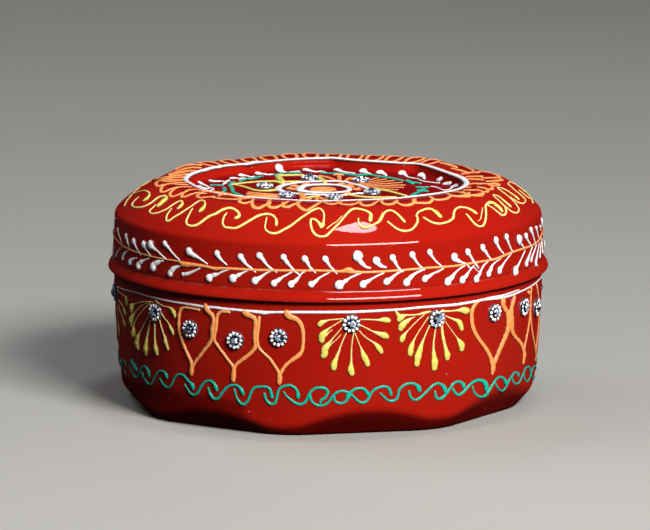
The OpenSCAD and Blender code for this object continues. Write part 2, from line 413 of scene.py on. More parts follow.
    # roughness with faint wipe marks
    wave = noise(nt, co, 60.0, 5.0, 0.65, 1.5)
    rough = ramp(nt, wave, [(0.35, grey(0.13)), (0.75, grey(0.24))])
    rough = mixc(nt, dust, rough, grey(0.7))
    L(rough, b.inputs["Roughness"])
    b.inputs["IOR"].default_value = 1.4
    b.inputs["Specular IOR Level"].default_value = 0.0
    lw = N(nt, "ShaderNodeLayerWeight")
    lw.inputs["Blend"].default_value = 0.5
    gloss = ramp(nt, lw.outputs["Facing"], [(0.0, grey(1.0)), (0.45, grey(1.0)), (0.72, grey(0.42)), (0.9, grey(0.10)), (1.0, grey(0.04))])
    L(mixc(nt, dull, grey(0.0), gloss), b.inputs["Coat Weight"])
    b.inputs["Coat Roughness"].default_value = 0.03
    b.inputs["Coat IOR"].default_value = 1.34
    peel = noise(nt, co, 420.0, 2.0, 0.5)
    sag = noise(nt, co, 42.0, 2.0, 0.5)
    n1 = bump(nt, sag, 0.10, 0.0006)
    n2 = bump(nt, peel, 0.12, 0.00006, n1)
    n3 = bump(nt, speck, 0.5, 0.00008, n2)
    L(n3, b.inputs["Normal"])
    L(n2, b.inputs["Coat Normal"])
    return m


def bare_steel(name):
    """Bare stainless sheet: fine turned lines round the axis and smudges."""
    m, nt, b = new_mat(name)
    L = nt.links.new
    co = coords(nt)
    sep = N(nt, "ShaderNodeSeparateXYZ"); L(co, sep.inputs["Vector"])
    x2 = math_n(nt, "MULTIPLY", sep.outputs["X"], sep.outputs["X"])
    y2 = math_n(nt, "MULTIPLY", sep.outputs["Y"], sep.outputs["Y"])
    rad = math_n(nt, "SQRT", math_n(nt, "ADD", x2, y2))
    cmb = N(nt, "ShaderNodeCombineXYZ")
    L(math_n(nt, "MULTIPLY", rad, 1.0), cmb.inputs["X"])
    L(math_n(nt, "MULTIPLY", sep.outputs["Z"], 1.0), cmb.inputs["Y"])
    lines = noise(nt, cmb.outputs[0], 2600.0, 2.0, 0.6)
    smudge = noise(nt, co, 30.0, 4.0, 0.6, 0.8)
    col = ramp(nt, smudge, [(0.3, (0.50, 0.49, 0.48, 1)), (0.7, (0.66, 0.66, 0.66, 1))])
    L(col, b.inputs["Base Color"])
    b.inputs["Metallic"].default_value = 1.0
    rg = mixc(nt, 0.5, ramp(nt, lines, [(0.3, grey(0.22)), (0.7, grey(0.36))]), ramp(nt, smudge, [(0.3, grey(0.2)), (0.7, grey(0.42))]))
    L(rg, b.inputs["Roughness"])
    b.inputs["Anisotropic"].default_value = 0.35
    n1 = bump(nt, lines, 0.25, 0.00003)
    L(n1, b.inputs["Normal"])
    return m


M_BODY = enamel("red_enamel_body", 55.0, True)
M_LID = enamel("red_enamel_lid", 59.2, False, (58.5, FLOOR_Z, L_ZP))
M_STEEL = bare_steel("bare_steel")

# ----------------------------------------------------------------------------
# Body shell
# ----------------------------------------------------------------------------
NT = 400
TH = np.linspace(0, 2 * math.pi, NT, endpoint=False)


def ring(r, z):
    r = np.broadcast_to(r, TH.shape); z = np.broadcast_to(z, TH.shape)
    return np.stack([r * np.cos(TH), r * np.sin(TH), z], 1)


rows = []
r_base = body_r(np.full_like(TH, Z_BOT), TH)
foot = r_base / (BASE_APO - 0.5)
PANEL_Z = Z_BOT + 1.0
rows.append(ring(0.0, PANEL_Z))
for u in np.linspace(6, 46.5, 8):
    rows.append(ring(u * foot, PANEL_Z))
for a in (0.0, 0.33, 0.66, 1.0):
    rows.append(ring((47.0 + 1.3 * a) * foot, PANEL_Z - (3 * a * a - 2 * a**3) * 1.0))
for u in np.linspace(50, BASE_APO - 2.4, 8):
    rows.append(ring(u * foot, Z_BOT))
RF = 1.1
for a in np.radians([0, 15, 30, 45, 60, 75]):
    zz = Z_BOT + RF - RF * math.cos(a)
    rows.append(ring(body_r(np.full_like(TH, zz), TH) - RF * (1 - math.sin(a)), zz))
for z in np.concatenate([np.arange(Z_BOT + RF, 14.2, 0.45), np.arange(14.8, 53.0, 1.6)]):
    rows.append(ring(body_r(np.full_like(TH, z), TH), z))
r_sh, rf2 = 87.6, 0.6
for a in np.radians(np.arange(0, 91, 11.25)):
    rows.append(ring(r_sh - rf2 * (1 - math.cos(a)), Z_SHOULDER - rf2 * (1 - math.sin(a))))
body_paint_rows = len(rows)
for a in np.radians(np.arange(0, 91, 18)):
    rows.append(ring(85.6 + 0.35 * (1 - math.sin(a)), Z_SHOULDER + 0.35 * (1 - math.cos(a))))
for z in np.linspace(56.2, 71.4, 8):
    rows.append(ring(85.6, z))
for a in np.radians(np.arange(0, 271, 18)):
    rows.append(ring(84.5 + 1.1 * math.cos(a), 72.1 + 1.1 * math.sin(a)))
P_body = np.stack(rows)
pr = np.hypot(P_body[:, :, 0], P_body[:, :, 1])
# painted shade and dark reflection on the foot: darkest where the facets cut in from the round wall, below z 16
foot_shade_mask = np.clip((round_r(P_body[:, :, 2]) - pr) / 3.8, 0.0, 1.0) * (P_body[:, :, 2] < 16.0)
# the painted shade reaches higher up the wall to the left of the front
side = np.clip((250.0 - np.degrees(TH)) / 10.0, 0.0, 1.0) * np.clip((np.degrees(TH) - 150.0) / 30.0, 0.0, 1.0)
rise = np.clip((15.5 - P_body[:, :, 2]) / 6.5, 0.0, 1.0)
foot_shade_mask = np.maximum(foot_shade_mask, 0.75 * side * rise * rise * (3 - 2 * rise))
# and is weaker on the facet to the right of the front
foot_shade_mask *= 1 - 0.5 * np.exp(-((np.degrees(TH) - 330.0) / 19.0) ** 4)
foot_shade_mask = np.clip(foot_shade_mask - 0.25 * np.exp(-((np.degrees(TH) - 324.0) / 15.0) ** 4), 0.0, 1.0)
body = shell("body_shell_lacquered", P_body, 0.6, [M_BODY, M_STEEL], body_paint_rows, 1, foot_shade_mask)
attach(body, "box_body")
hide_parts("body_shell")

# ----------------------------------------------------------------------------
# Lid shell
# ----------------------------------------------------------------------------
rows = []
rho = rec_rho(TH)
z_rim = lid_top_z(rho + 0.75, TH)
rows.append(ring(0.0, FLOOR_Z))
rw = rho - DRAFT
for u in np.linspace(0.08, 0.93, 14):
    k = np.clip((u - 0.3) / 0.5, 0, 1)
    rows.append(ring(u * (rw * k + (1 - k) * rw.mean()), FLOOR_Z))
for a in np.radians(np.arange(0, 76, 7.5)):
    rows.append(ring(rw - FIL_W * (1 - math.sin(a)), FLOOR_Z + FIL_H * (1 - math.cos(a))))
zt = FLOOR_Z + FIL_H * (1 - math.cos(math.radians(75)))
rf4 = 1.0
for k in (0.35, 0.7):
    rows.append(ring(rw + (DRAFT - 0.55) * k, zt + (z_rim - rf4 - zt) * k))
for a in np.radians([0, 20, 40, 60, 80, 90]):
    rows.append(ring(rho - 0.45 + 1.2 * (1 - math.cos(a)), z_rim - rf4 + rf4 * math.sin(a)))
r_in = rho + 0.75
for u in np.linspace(0.06, 1.0, 46):
    r = r_in + (84.0 - r_in) * u
    rows.append(ring(r, np.minimum(lid_top_z(r, TH), L_ZP)))
for r, z in edge_curve()[1:]:
    rows.append(ring(r, z))
for z in np.arange(75.2, 60.0, -1.6):
    rows.append(ring(skirt_r(z), z))
# flare into the rolled hem, then round it and up inside
HEM = [(88.26, 60.2), (88.21, 59.75), (88.18, 59.35), (88.21, 59.02), (88.35, 58.68), (88.58, 58.28), (88.85, 57.84), (89.12, 57.4), (89.37, 56.97), (89.59, 56.57), (89.76, 56.2),
       (89.88, 55.85), (89.97, 55.48), (90.0, 55.2), (89.93, 54.94), (89.7, 54.8), (89.3, 54.75), (88.8, 54.74), (88.3, 54.75)]
for r, z in catmull(HEM, 3):
    rows.append(ring(r, z))
HC, HZ, HA, HB = 88.0, 56.8, 2.0, 2.07
for a in np.radians(np.arange(-99, -226, -9)):
    rows.append(ring(HC + HA * math.cos(a), HZ + HB * math.sin(a)))
P_lid = np.stack(rows)
lid = shell("lid_shell_lacquered", P_lid, 0.55, [M_LID, M_STEEL], len(rows) - 12, -1)
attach(lid, "lid")
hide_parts("lid_shell")

# ----------------------------------------------------------------------------
# Piped paint: strokes laid on the surfaces
# ----------------------------------------------------------------------------
F_PX = 6242.8
CAM_FW = np.array([0.0, math.cos(CAM_PITCH), -math.sin(CAM_PITCH)])
CAM_UP = np.array([0.0, math.sin(CAM_PITCH), math.cos(CAM_PITCH)])
CAM_RT = np.array([1.0, 0.0, 0.0])
PX_MM = 1 / 2.5


def rays(q):
    return CAM_FW + CAM_RT * ((q[:, 0:1] - 325.0) / F_PX) - CAM_UP * ((q[:, 1:2] - 265.0) / F_PX)


def wall_r(z, th):
    return body_r(np.clip(z, 0.3, 53.0), th)


def lid_side_r(z, th):
    return skirt_r(np.clip(z, 59.6, 77.0))


def settle(kind, P):
    """Puts points on the surface they belong to."""
    P = np.array(P, float)
    r = np.hypot(P[:, 0], P[:, 1]); th = np.arctan2(P[:, 1], P[:, 0])
    if kind in ("wall", "skirt"):
        rr = (wall_r if kind == "wall" else lid_side_r)(P[:, 2], th)
        P[:, 0] = rr * np.cos(th); P[:, 1] = rr * np.sin(th)
    elif kind == "top":
        P[:, 2] = np.minimum(lid_top_z(r, th), L_ZP)
    else:
        P[:, 2] = floor_z(r, th)
    return P


def hit(kind, q):
    """Where the sight lines of photograph points q meet a surface."""
    d = rays(q)
    C = CAM_POS
    if kind in ("wall", "skirt"):
        fun = wall_r if kind == "wall" else lid_side_r
        r = np.full(len(q), 87.0)
        for _ in range(10):
            a = d[:, 0]**2 + d[:, 1]**2
            b = C[0] * d[:, 0] + C[1] * d[:, 1]
            t = (-b - np.sqrt(np.maximum(b * b - a * (C[0]**2 + C[1]**2 - r * r), 0.0))) / a
            P = C + t[:, None] * d
            r = fun(P[:, 2], np.arctan2(P[:, 1], P[:, 0]))
        return settle(kind, P)
    if kind == "floor":
        z = np.full(len(q), FLOOR_Z + 0.3)
        for _ in range(14):
            P = C + ((z - C[2]) / d[:, 2])[:, None] * d
            z = 0.6 * z + 0.4 * (floor_z(np.hypot(P[:, 0], P[:, 1]), np.arctan2(P[:, 1], P[:, 0])) + 0.3)
        return settle(kind, P)
    zs = np.linspace(92.0, 78.0, 561)
    t = (zs[None, :] - C[2]) / d[:, 2:3]
    X = C[0] + t * d[:, 0:1]; Y = C[1] + t * d[:, 1:2]
    R = np.hypot(X, Y)
    f = zs[None, :] - np.minimum(lid_top_z(R, np.arctan2(Y, X)), L_ZP)
    f = np.where(R > 84.6, 9.0, f)
    neg = f <= 0
    i = np.where(neg.any(1), neg.argmax(1), f.argmin(1))
    i = np.clip(i, 1, len(zs) - 1)
    k = np.arange(len(q))
    f0, f1 = f[k, i - 1], f[k, i]
    s = np.where((f0 > 0) & (f1 <= 0) & (f0 < 8), f0 / np.maximum(f0 - f1, 1e-9), 1.0)
    tt = t[k, i - 1] + s * (t[k, i] - t[k, i - 1])
    return settle(kind, C + tt[:, None] * d)


def flow(p, step):
    """Smooth curve through points of any dimension, sampled about every step."""
    p = np.asarray(p, float)
    if len(p) == 1:
        p = np.vstack([p, p + 1e-3])
    L = np.maximum(np.linalg.norm(np.diff(p[:, :2], axis=0), axis=1), 1e-6)
    m = np.zeros_like(p)
    s = np.diff(p, axis=0) / L[:, None]
    m[0], m[-1] = s[0], s[-1]
    for i in range(1, len(p) - 1):
        m[i] = (s[i - 1] * L[i] + s[i] * L[i - 1]) / (L[i] + L[i - 1])
    out = []
    for i in range(len(L)):
        n = max(2, int(math.ceil(L[i] / step)))
        t = np.linspace(0, 1, n, endpoint=False)[:, None]
        out.append((2 * t**3 - 3 * t**2 + 1) * p[i] + (t**3 - 2 * t**2 + t) * L[i] * m[i]
                   + (-2 * t**3 + 3 * t**2) * p[i + 1] + (t**3 - t**2) * L[i] * m[i + 1])
    out.append(p[-1:])
    return np.vstack(out)


def unit(v):
    return v / np.maximum(np.linalg.norm(v, axis=-1, keepdims=True), 1e-9)


def smooth_w(w):
    if len(w) < 4:
        return w
    e = np.concatenate([[w[0]], w, [w[-1]]])
    return 0.25 * e[:-2] + 0.5 * e[1:-1] + 0.25 * e[2:]


def seen(kind, pts, gain=1.0, most=1.9):
    """Stroke given in photograph points (x, y, visible width); a gain of 0 takes the width in millimetres."""
    c = flow(pts, 0.9)
    xy = c[:, :2]; w = np.maximum(c[:, 2], 0.7)
    P = hit(kind, xy)
    if gain == 0:
        return {"kind": kind, "P": P, "w": smooth_w(w)}
    t2 = unit(np.gradient(xy, axis=0))
    n2 = np.stack([-t2[:, 1], t2[:, 0]], 1) * (w / 2)[:, None]
    D = hit(kind, xy + n2) - hit(kind, xy - n2)
    T = unit(np.gradient(P, axis=0))
    D -= (D * T).sum(1, keepdims=True) * T
    w0 = w * PX_MM
    return {"kind": kind, "P": P, "w": smooth_w(np.clip(np.linalg.norm(D, axis=1), 0.9 * w0, most * w0)) * gain}


def laid(kind, pts, step=0.6):
    """Stroke given in millimetres: (azimuth, z, width) on a side, (x, y, width) on top."""
    pts = np.asarray(pts, float)
    if kind in ("wall", "skirt"):
        s = pts.copy(); s[:, 0] = np.radians(pts[:, 0]) * 87.0
        c = flow(s, step)
        a = c[:, 0] / 87.0
        P = np.stack([87 * np.sin(a), -87 * np.cos(a), c[:, 1]], 1)
    else:
        c = flow(pts, step)
        P = np.stack([c[:, 0], c[:, 1], np.zeros(len(c))], 1)
    return {"kind": kind, "P": settle(kind, P), "w": np.maximum(c[:, 2], 0.25)}


def moved(st, turn, dz=0.0, mirror=False, about=0.0, grow=1.0):
    """The same stroke somewhere else round the axis. turn in degrees, positive to the right seen from the front."""
    P = st["P"].copy()
    if mirror:
        a = np.arctan2(P[:, 0], -P[:, 1]); r = np.hypot(P[:, 0], P[:, 1])
        a = 2 * math.radians(about) - a
        P[:, 0] = r * np.sin(a); P[:, 1] = -r * np.cos(a)
    c, s = math.cos(math.radians(turn)), math.sin(math.radians(turn))
    P[:, :2] = np.stack([P[:, 0] * c - P[:, 1] * s, P[:, 0] * s + P[:, 1] * c], 1)
    P[:, 2] += dz
    return {"kind": st["kind"], "P": settle(st["kind"], P), "w": st["w"] * grow}


def azimuth(P):
    return math.degrees(math.atan2(P[0], -P[1]))


def normals(kind, P):
    r = np.hypot(P[:, 0], P[:, 1]); th = np.arctan2(P[:, 1], P[:, 0])
    if kind in ("wall", "skirt"):
        fun = wall_r if kind == "wall" else lid_side_r
        g = (fun(P[:, 2] + 0.3, th) - fun(P[:, 2] - 0.3, th)) / 0.6
        return unit(np.stack([np.cos(th), np.sin(th), -g], 1))
    e = 0.35

    def h(x, y):
        if kind == "floor":
            return floor_z(np.hypot(x, y), np.arctan2(y, x))
        return np.minimum(lid_top_z(np.hypot(x, y), np.arctan2(y, x)), L_ZP)
    gx = (h(P[:, 0] + e, P[:, 1]) - h(P[:, 0] - e, P[:, 1])) / (2 * e)
    gy = (h(P[:, 0], P[:, 1] + e) - h(P[:, 0], P[:, 1] - e)) / (2 * e)
    return unit(np.stack([-gx, -gy, np.ones(len(P))], 1))


SEG = 8
EMBED = 0.14


def bead(st, step=0.5, closed=False, high=1.0, flat=0.8):
    """Closed raised bead along a stroke, round on top and rounded at both ends."""
    P, w = st["P"], st["w"]
    L = np.concatenate([[0], np.cumsum(np.linalg.norm(np.diff(P, axis=0), axis=1))])
    keep = np.concatenate([[True], np.diff(L) > 1e-5])
    P, w, L = P[keep], w[keep], L[keep]
    if L[-1] < 0.4:
        P = np.vstack([P[0] - [0.2, 0, 0], P[0] + [0.2, 0, 0]]); w = np.array([w[0], w[0]]); L = np.array([0, 0.4])
    n = max(4, int(round(L[-1] / step)) + 1)
    s = np.linspace(0, L[-1], n)
    P = np.stack([np.interp(s, L, P[:, k]) for k in range(3)], 1)
    w = np.interp(s, L, w)
    P = settle(st["kind"], P)
    # slight unevenness of a hand-held nozzle
    w = w * (1 + 0.05 * np.sin(s * 1.9 + rng.uniform(0, 6.3)) + 0.03 * np.sin(s * 4.3 + rng.uniform(0, 6.3)))
    if closed:
        P[-1] = P[0]; w[-1] = w[0]
    N = normals(st["kind"], P)
    T = np.gradient(P, axis=0)
    if closed:
        T[0] = T[-1] = P[1] - P[-2]
    T = unit(T)
    B = unit(np.cross(N, T))
    N = unit(np.cross(T, B))
    h = (0.12 + 0.25 * w) * high
    a = np.linspace(0, math.pi, SEG + 1)
    ca, sa = np.cos(a), np.sin(a) ** flat
    if not closed:
        cap = np.radians([90, 68, 45, 22])
        fore = 0.48
        P = np.vstack([P[0] - T[0] * (fore * w[0] * np.sin(cap))[:, None], P, P[-1] + T[-1] * (fore * w[-1] * np.sin(cap[::-1]))[:, None]])
        sc = np.cos(cap); sc[0] = 0.16
        w = np.concatenate([w[0] * sc, w, w[-1] * sc[::-1]])
        h = np.concatenate([h[0] * sc**0.75, h, h[-1] * sc[::-1]**0.75])
        N = np.vstack([np.tile(N[0], (4, 1)), N, np.tile(N[-1], (4, 1))])
        B = np.vstack([np.tile(B[0], (4, 1)), B, np.tile(B[-1], (4, 1))])
    V = P[:, None, :] + B[:, None, :] * (ca[None, :, None] * (w / 2)[:, None, None]) + N[:, None, :] * (sa[None, :, None] * h[:, None, None] - EMBED * (1 - sa)[None, :, None])
    m = len(P); k = SEG + 1
    if closed:
        V = V[:-1]; m -= 1
    edge = np.tile(np.abs(ca), (m, 1)).ravel()
    thick = np.repeat(w[:m], k)
    i = np.arange(m if closed else m - 1)[:, None] * k
    nx = (np.arange(m if closed else m - 1)[:, None] + 1) % m * k
    j = np.arange(SEG)[None, :]
    Q = np.stack([i + j, i + j + 1, nx + j + 1, nx + j], 2).reshape(-1, 4)
    bot = np.stack([i[:, 0] + SEG, i[:, 0], nx[:, 0], nx[:, 0] + SEG], 1)
    faces = Q.tolist() + bot.tolist()
    if not closed:
        faces.append(list(range(k))[::-1])
        faces.append([(m - 1) * k + x for x in range(k)])
    return V.reshape(-1, 3), faces, edge, thick


def full_end(w, s):
    """Width along a stroke whose fat end is a full round drop."""
    k = int(np.argmax(w[:max(2, int(np.searchsorted(s, 0.45 * s[-1])))]))
    if 0 < k < len(w) - 1 and s[k] < 1.3 * w[k] and w[k] > 1.15:
        t = s[:k] / s[k]
        w = w.copy()
        w[:k] = np.maximum(w[:k], w[k] * (0.80 + 0.20 * np.sin(t * math.pi / 2)))
    return w


def ball_end(P, w, s, waist):
    """Stroke whose fat end is a round drop with a neck behind it."""
    k = int(np.argmax(w[:max(2, int(np.searchsorted(s, 0.5 * s[-1])))]))
    W = w[k]
    if W < 1.25 or s[-1] - s[k] < 0.8 * W or W < 1.3 * w[-1]:
        return P, w
    P, w, s = P[k:], w[k:].copy(), s[k:] - s[k]
    d = 0.62 * W
    neck = waist * float(np.interp(d, s, w))
    m = s < d
    circ = np.sqrt(np.maximum(W * W - (2 * s[m]) ** 2, 0.0))
    w[m] = (circ**4 + neck**4) ** 0.25
    return P, smooth_w(w)


def ornament(name, strokes, mat, body_name, slot, fine=1.0, fat=0.0, ball=False, waist=0.92, **kw):
    """One object from many strokes of the same paint; fine scales the thin parts of the strokes."""
    VV, FF, EE, TT = [], [], [], []
    off = 0
    for st in strokes:
        w = st["w"]
        if "closed" not in st.get("kw", {}):
            s = np.concatenate([[0], np.cumsum(np.linalg.norm(np.diff(st["P"], axis=0), axis=1))])
            if ball:
                P, w = ball_end(st["P"], w, s, waist)
                st = {**st, "P": P}
            else:
                w = full_end(w, s)
                w = full_end(w[::-1], s[-1] - s[::-1])[::-1]
        u = np.clip((w - 0.75) / 0.9, 0.0, 1.0)
        f = np.clip((w - 1.1) / 0.8, 0.0, 1.0)
        st = {**st, "w": w * 1.04 * (fine + (1 - fine) * u * u * (3 - 2 * u)) * (1 + fat * f * f * (3 - 2 * f))}
        V, F, E, T = bead(st, **{**kw, **st.get("kw", {})})
        VV.append(V); EE.append(E); TT.append(T)
        FF += [[x + off for x in f] for f in F]
        off += len(V)
    o = make_object(name, np.vstack(VV), FF, [mat], None, True,
                    {"edge": ("POINT", "FLOAT", np.concatenate(EE)), "thick": ("POINT", "FLOAT", np.concatenate(TT))})
    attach(o, body_name)
    return o


def paint(name, thin, full, speck_and_shadow_tone, rough=0.3):
    """Raised enamel paint: paler where the line is thin, deeper in the drops, with painted shadow darkening the foot
    of the bead.
    """
    m, nt, b = new_mat(name)
    L = nt.links.new
    co = coords(nt)
    edge = N(nt, "ShaderNodeAttribute", attribute_name="edge").outputs["Fac"]
    thick = N(nt, "ShaderNodeAttribute", attribute_name="thick").outputs["Fac"]
    tk = N(nt, "ShaderNodeMapRange", clamp=True)
    tk.inputs["From Min"].default_value = 0.7
    tk.inputs["From Max"].default_value = 2.6
    L(thick, tk.inputs["Value"])
    blotch = noise(nt, co, 150.0, 3.0, 0.55)
    f = math_n(nt, "ADD", tk.outputs[0], math_n(nt, "MULTIPLY", math_n(nt, "SUBTRACT", blotch, 0.5), 0.5), True)
    col = mixc(nt, f, thin, full)
    fine = noise(nt, co, 1500.0, 2.0, 0.6)
    col = mixc(nt, ramp(nt, fine, [(0.5, grey(0.0)), (0.8, grey(0.12))]), col, speck_and_shadow_tone)
    # painted shadow darkening the foot of the bead
    foot_shadow = ramp(nt, edge, [(0.74, grey(0.0)), (0.9, grey(0.95))])
    col = mixc(nt, foot_shadow, col, speck_and_shadow_tone)
    L(col, b.inputs["Base Color"])
    L(ramp(nt, blotch, [(0.3, grey(rough - 0.07)), (0.7, grey(rough + 0.1))]), b.inputs["Roughness"])
    b.inputs["IOR"].default_value = 1.42
    b.inputs["Specular IOR Level"].default_value = 0.3
    b.inputs["Coat Weight"].default_value = 0.15
    b.inputs["Coat Roughness"].default_value = 0.1
    pits = noise(nt, co, 700.0, 2.0, 0.5)
    n1 = bump(nt, blotch, 0.3, 0.0002)
    n2 = bump(nt, pits, 0.15, 0.00004, n1)
    L(n2, b.inputs["Normal"])
    return m


M_WHITE = paint("paint_white", (0.78, 0.76, 0.78, 1), (0.80, 0.82, 0.86, 1), (0.15, 0.04, 0.04, 1))
M_ORANGE = paint("paint_orange", (0.84, 0.36, 0.13, 1), (0.86, 0.31, 0.09, 1), (0.24, 0.022, 0.008, 1))
M_YELLOW = paint("paint_yellow", (0.78, 0.64, 0.25, 1), (0.66, 0.60, 0.125, 1), (0.15, 0.05, 0.005, 1))
M_GREEN = paint("paint_green", (0.012, 0.36, 0.27, 1), (0.004, 0.45, 0.30, 1), (0.004, 0.03, 0.025, 1))

# ----------------------------------------------------------------------------
# Ornament on the side of the box
# ----------------------------------------------------------------------------
def S(text, kind, gain=1.0, most=1.9):
    """Strokes from rows of x,y,width in the photograph's frame; a semicolon ends a stroke."""
    out = []
    for part in text.split(";"):
        v = [float(x) for x in part.replace(",", " ").split()]
        if v:
            out.append(seen(kind, np.array(v).reshape(-1, 3), gain, most))
    return out


def ring_round(kind, front, w_back, wob=0.25):
    """Closes a traced line round the back of the box."""
    P = front["P"]
    a0, a1 = azimuth(P[-1]), azimuth(P[0]) + 360.0
    z0, z1 = P[-1, 2], P[0, 2]
    w0, w1 = front["w"][-1], front["w"][0]
    n = 40
    t = np.linspace(0, 1, n + 1)[1:-1]
    a = a0 + (a1 - a0) * t
    z = z0 + (z1 - z0) * t + wob * (np.sin(9 * t * math.pi) + 0.6 * np.sin(23 * t * math.pi + 1))
    back = laid(kind, np.stack([a, z, np.full(len(a), w_back)], 1))
    return {"kind": kind, "P": np.vstack([P, back["P"], P[:1]]), "w": np.concatenate([front["w"], back["w"], front["w"][:1]]), "kw": {"closed": True}}


white_line = S("113.5,283,1.4 118,287,1.4 125,289.7,1.5 135,292.2,1.5 145,295.2,1.6 155,297.8,1.8 165,300.2,2.1 175,302.2,2.4 185,303.7,2.6 195,305.3,3"
               " 205,306.8,3.1 215,307.6,3.2 225,308.9,3.2 240,310.2,3.0 250,311.2,2.8 258,312.3,3.2 264,312.7,4.4 270,312.4,3.2 290,312.2,3.2 325,312.2,3.2"
               " 350,312,3.1 370,311.2,3 385,310.4,2.8 400,309.4,2.6 420,307.4,2.8 440,305.9,3 455,304.6,3.1 470,302.3,3 485,299.4,3 497,298.2,3"
               " 505,297,2.8 512,295,2.4 520,291.7,2.0 528,287.9,1.8 535,283.3,1.6 540,278.5,1.4", "wall")[0]
white_ring = ring_round("wall", white_line, 1.25)
white_extra = S("246,310.2,1.6 253,310.6,1.4 262,311.3,1.8; 486,298.6,2.4 495,296.8,2.2 503,295.2,2 511,292.6,1.8 519,289.8,1.4", "wall")

# hanging drops, each round one crystal
HEARTS = {
    "h1": "199,309.8,3 195,309,3 190,308.2,3 185,307.6,3 181.8,308.5,3.4 180,312,3.4 179.3,317,3.2 179,323,3 179.3,329,3 180.8,336,3 183,342.5,3 185.7,349.5,3 188.6,356,3.2 191,361,3.2 192,366,4 191.8,370.5,4.8 191.5,373.6,4.2;"
          "205.8,305.5,3 206.6,308,4.4 208,310.8,5.3 210.6,313.2,4.4 213,316.5,4 214,321,4.2 213.3,326,5 212.6,331,5 212.6,336,4.4 211,341,4.2 208,345.5,3.8 204,350.5,3.6 200,356,3.5 196,361,3.2 193.2,366,3.5",
    "h2": "229,312,3.4 225,311.5,3.6 221,311.8,3.6 218,314.5,3.6 216.9,319,3.4 216.5,325,3.5 215.6,331,3.6 214.4,336,3.5 214.6,340.5,3 217,344.5,3 220,349,3 224,354,3 227.5,359,3 231,363.5,3.2 233.4,367,3.8 233.9,372,4.6 233.5,376.5,5.6 233.3,379.8,4;"
          "245,313,5.6 247.5,314.5,6 251,316,5.2 254.6,318.6,4.8 255.9,323,4.5 255.2,330,4.4 254.9,337,4.4 255.4,343,4.4 255.3,347,4.4 253,350.5,4.2 249,354.5,4 244,358.5,4 239.5,361.8,3.8 236,365,3.6 234.2,369,3.8",
    "h3": "259.3,317.8,3.4 258.7,322,4 258,329,4 257,336,4 257.2,342,4 258.7,347,3.2 262,351.5,3 266.5,355.5,3 270.5,359.5,3.2 273.5,364,3.3 276.5,368.5,3.3 279,373,4 279.8,377,5.2 279.6,380.5,5.6 279.2,382.8,4;"
          "287,313,6.2 288.5,315.5,7.2 291.5,317.2,6.2 295.3,318.7,5.3 299,321.5,4.9 301.5,326,4.5 303,332,4 303.3,338,3.8 303,344,3.8 302.2,350,4 299.5,354.5,4.4 295,358,4.4 290,361.5,3.8 286,365,3.6 283,369,3.6 280.6,373.5,3.8",
    "r1": "478.5,301.5,2.5 475.5,304,3.2 472.6,308,3.6 471.4,313,3.8 471.5,320,3.8 472.6,327,4 475,333,4 479,339.5,3.8 483.5,345.5,3.8 487.5,351.5,3.8 490,357,3.8 491.5,362,4.5 492.4,367,4.8 492.2,370.5,3.8 492,372.5,2.5;"
          "502.4,301,4.6 502.6,304.5,4.8 504.6,308.6,4.5 507,312.5,4.5 507.8,318,5 507.8,324,5 506.8,330,4.4 505.3,335,3.8 503,341,3.6 500,348,3.5 497.4,354,3.4 495,360,3.6 493,364,4",
    "r2": "513.8,298,3 512.5,302,3.4 510.9,308,3.6 510.2,315,4.6 510.5,322,5 511,328,4.6 512.5,333,4 516,338,3.6 519.5,342,3.6 522,346.5,3.4 523.2,351,3.6 523.4,356,4 523,359.5,3.2 522.8,361.5,2;"
          "528.2,292,3.6 530,294,2.4 530.2,300,2 529.9,310,2 529,320,2 527.5,330,1.9 525.6,340,1.9 524.2,347,2 523.5,352,2.2",
    "r3": "530.8,289,2.2 530.2,300,1.6 530.1,314,1.8 531,325,1.8 532.4,335,1.8 533.9,343,2 534.9,350,2.2 535.3,355.5,2.4 535,359.5,2;"
          "536.2,285,2 537.2,291,2 538,297,1.8 538.6,306,1.6 538.4,318,1.7 537.9,326,1.6 537,336,1.6 536,345,1.6 535.4,351,1.8",
}
hearts = {k: S(v, "wall") for k, v in HEARTS.items()}

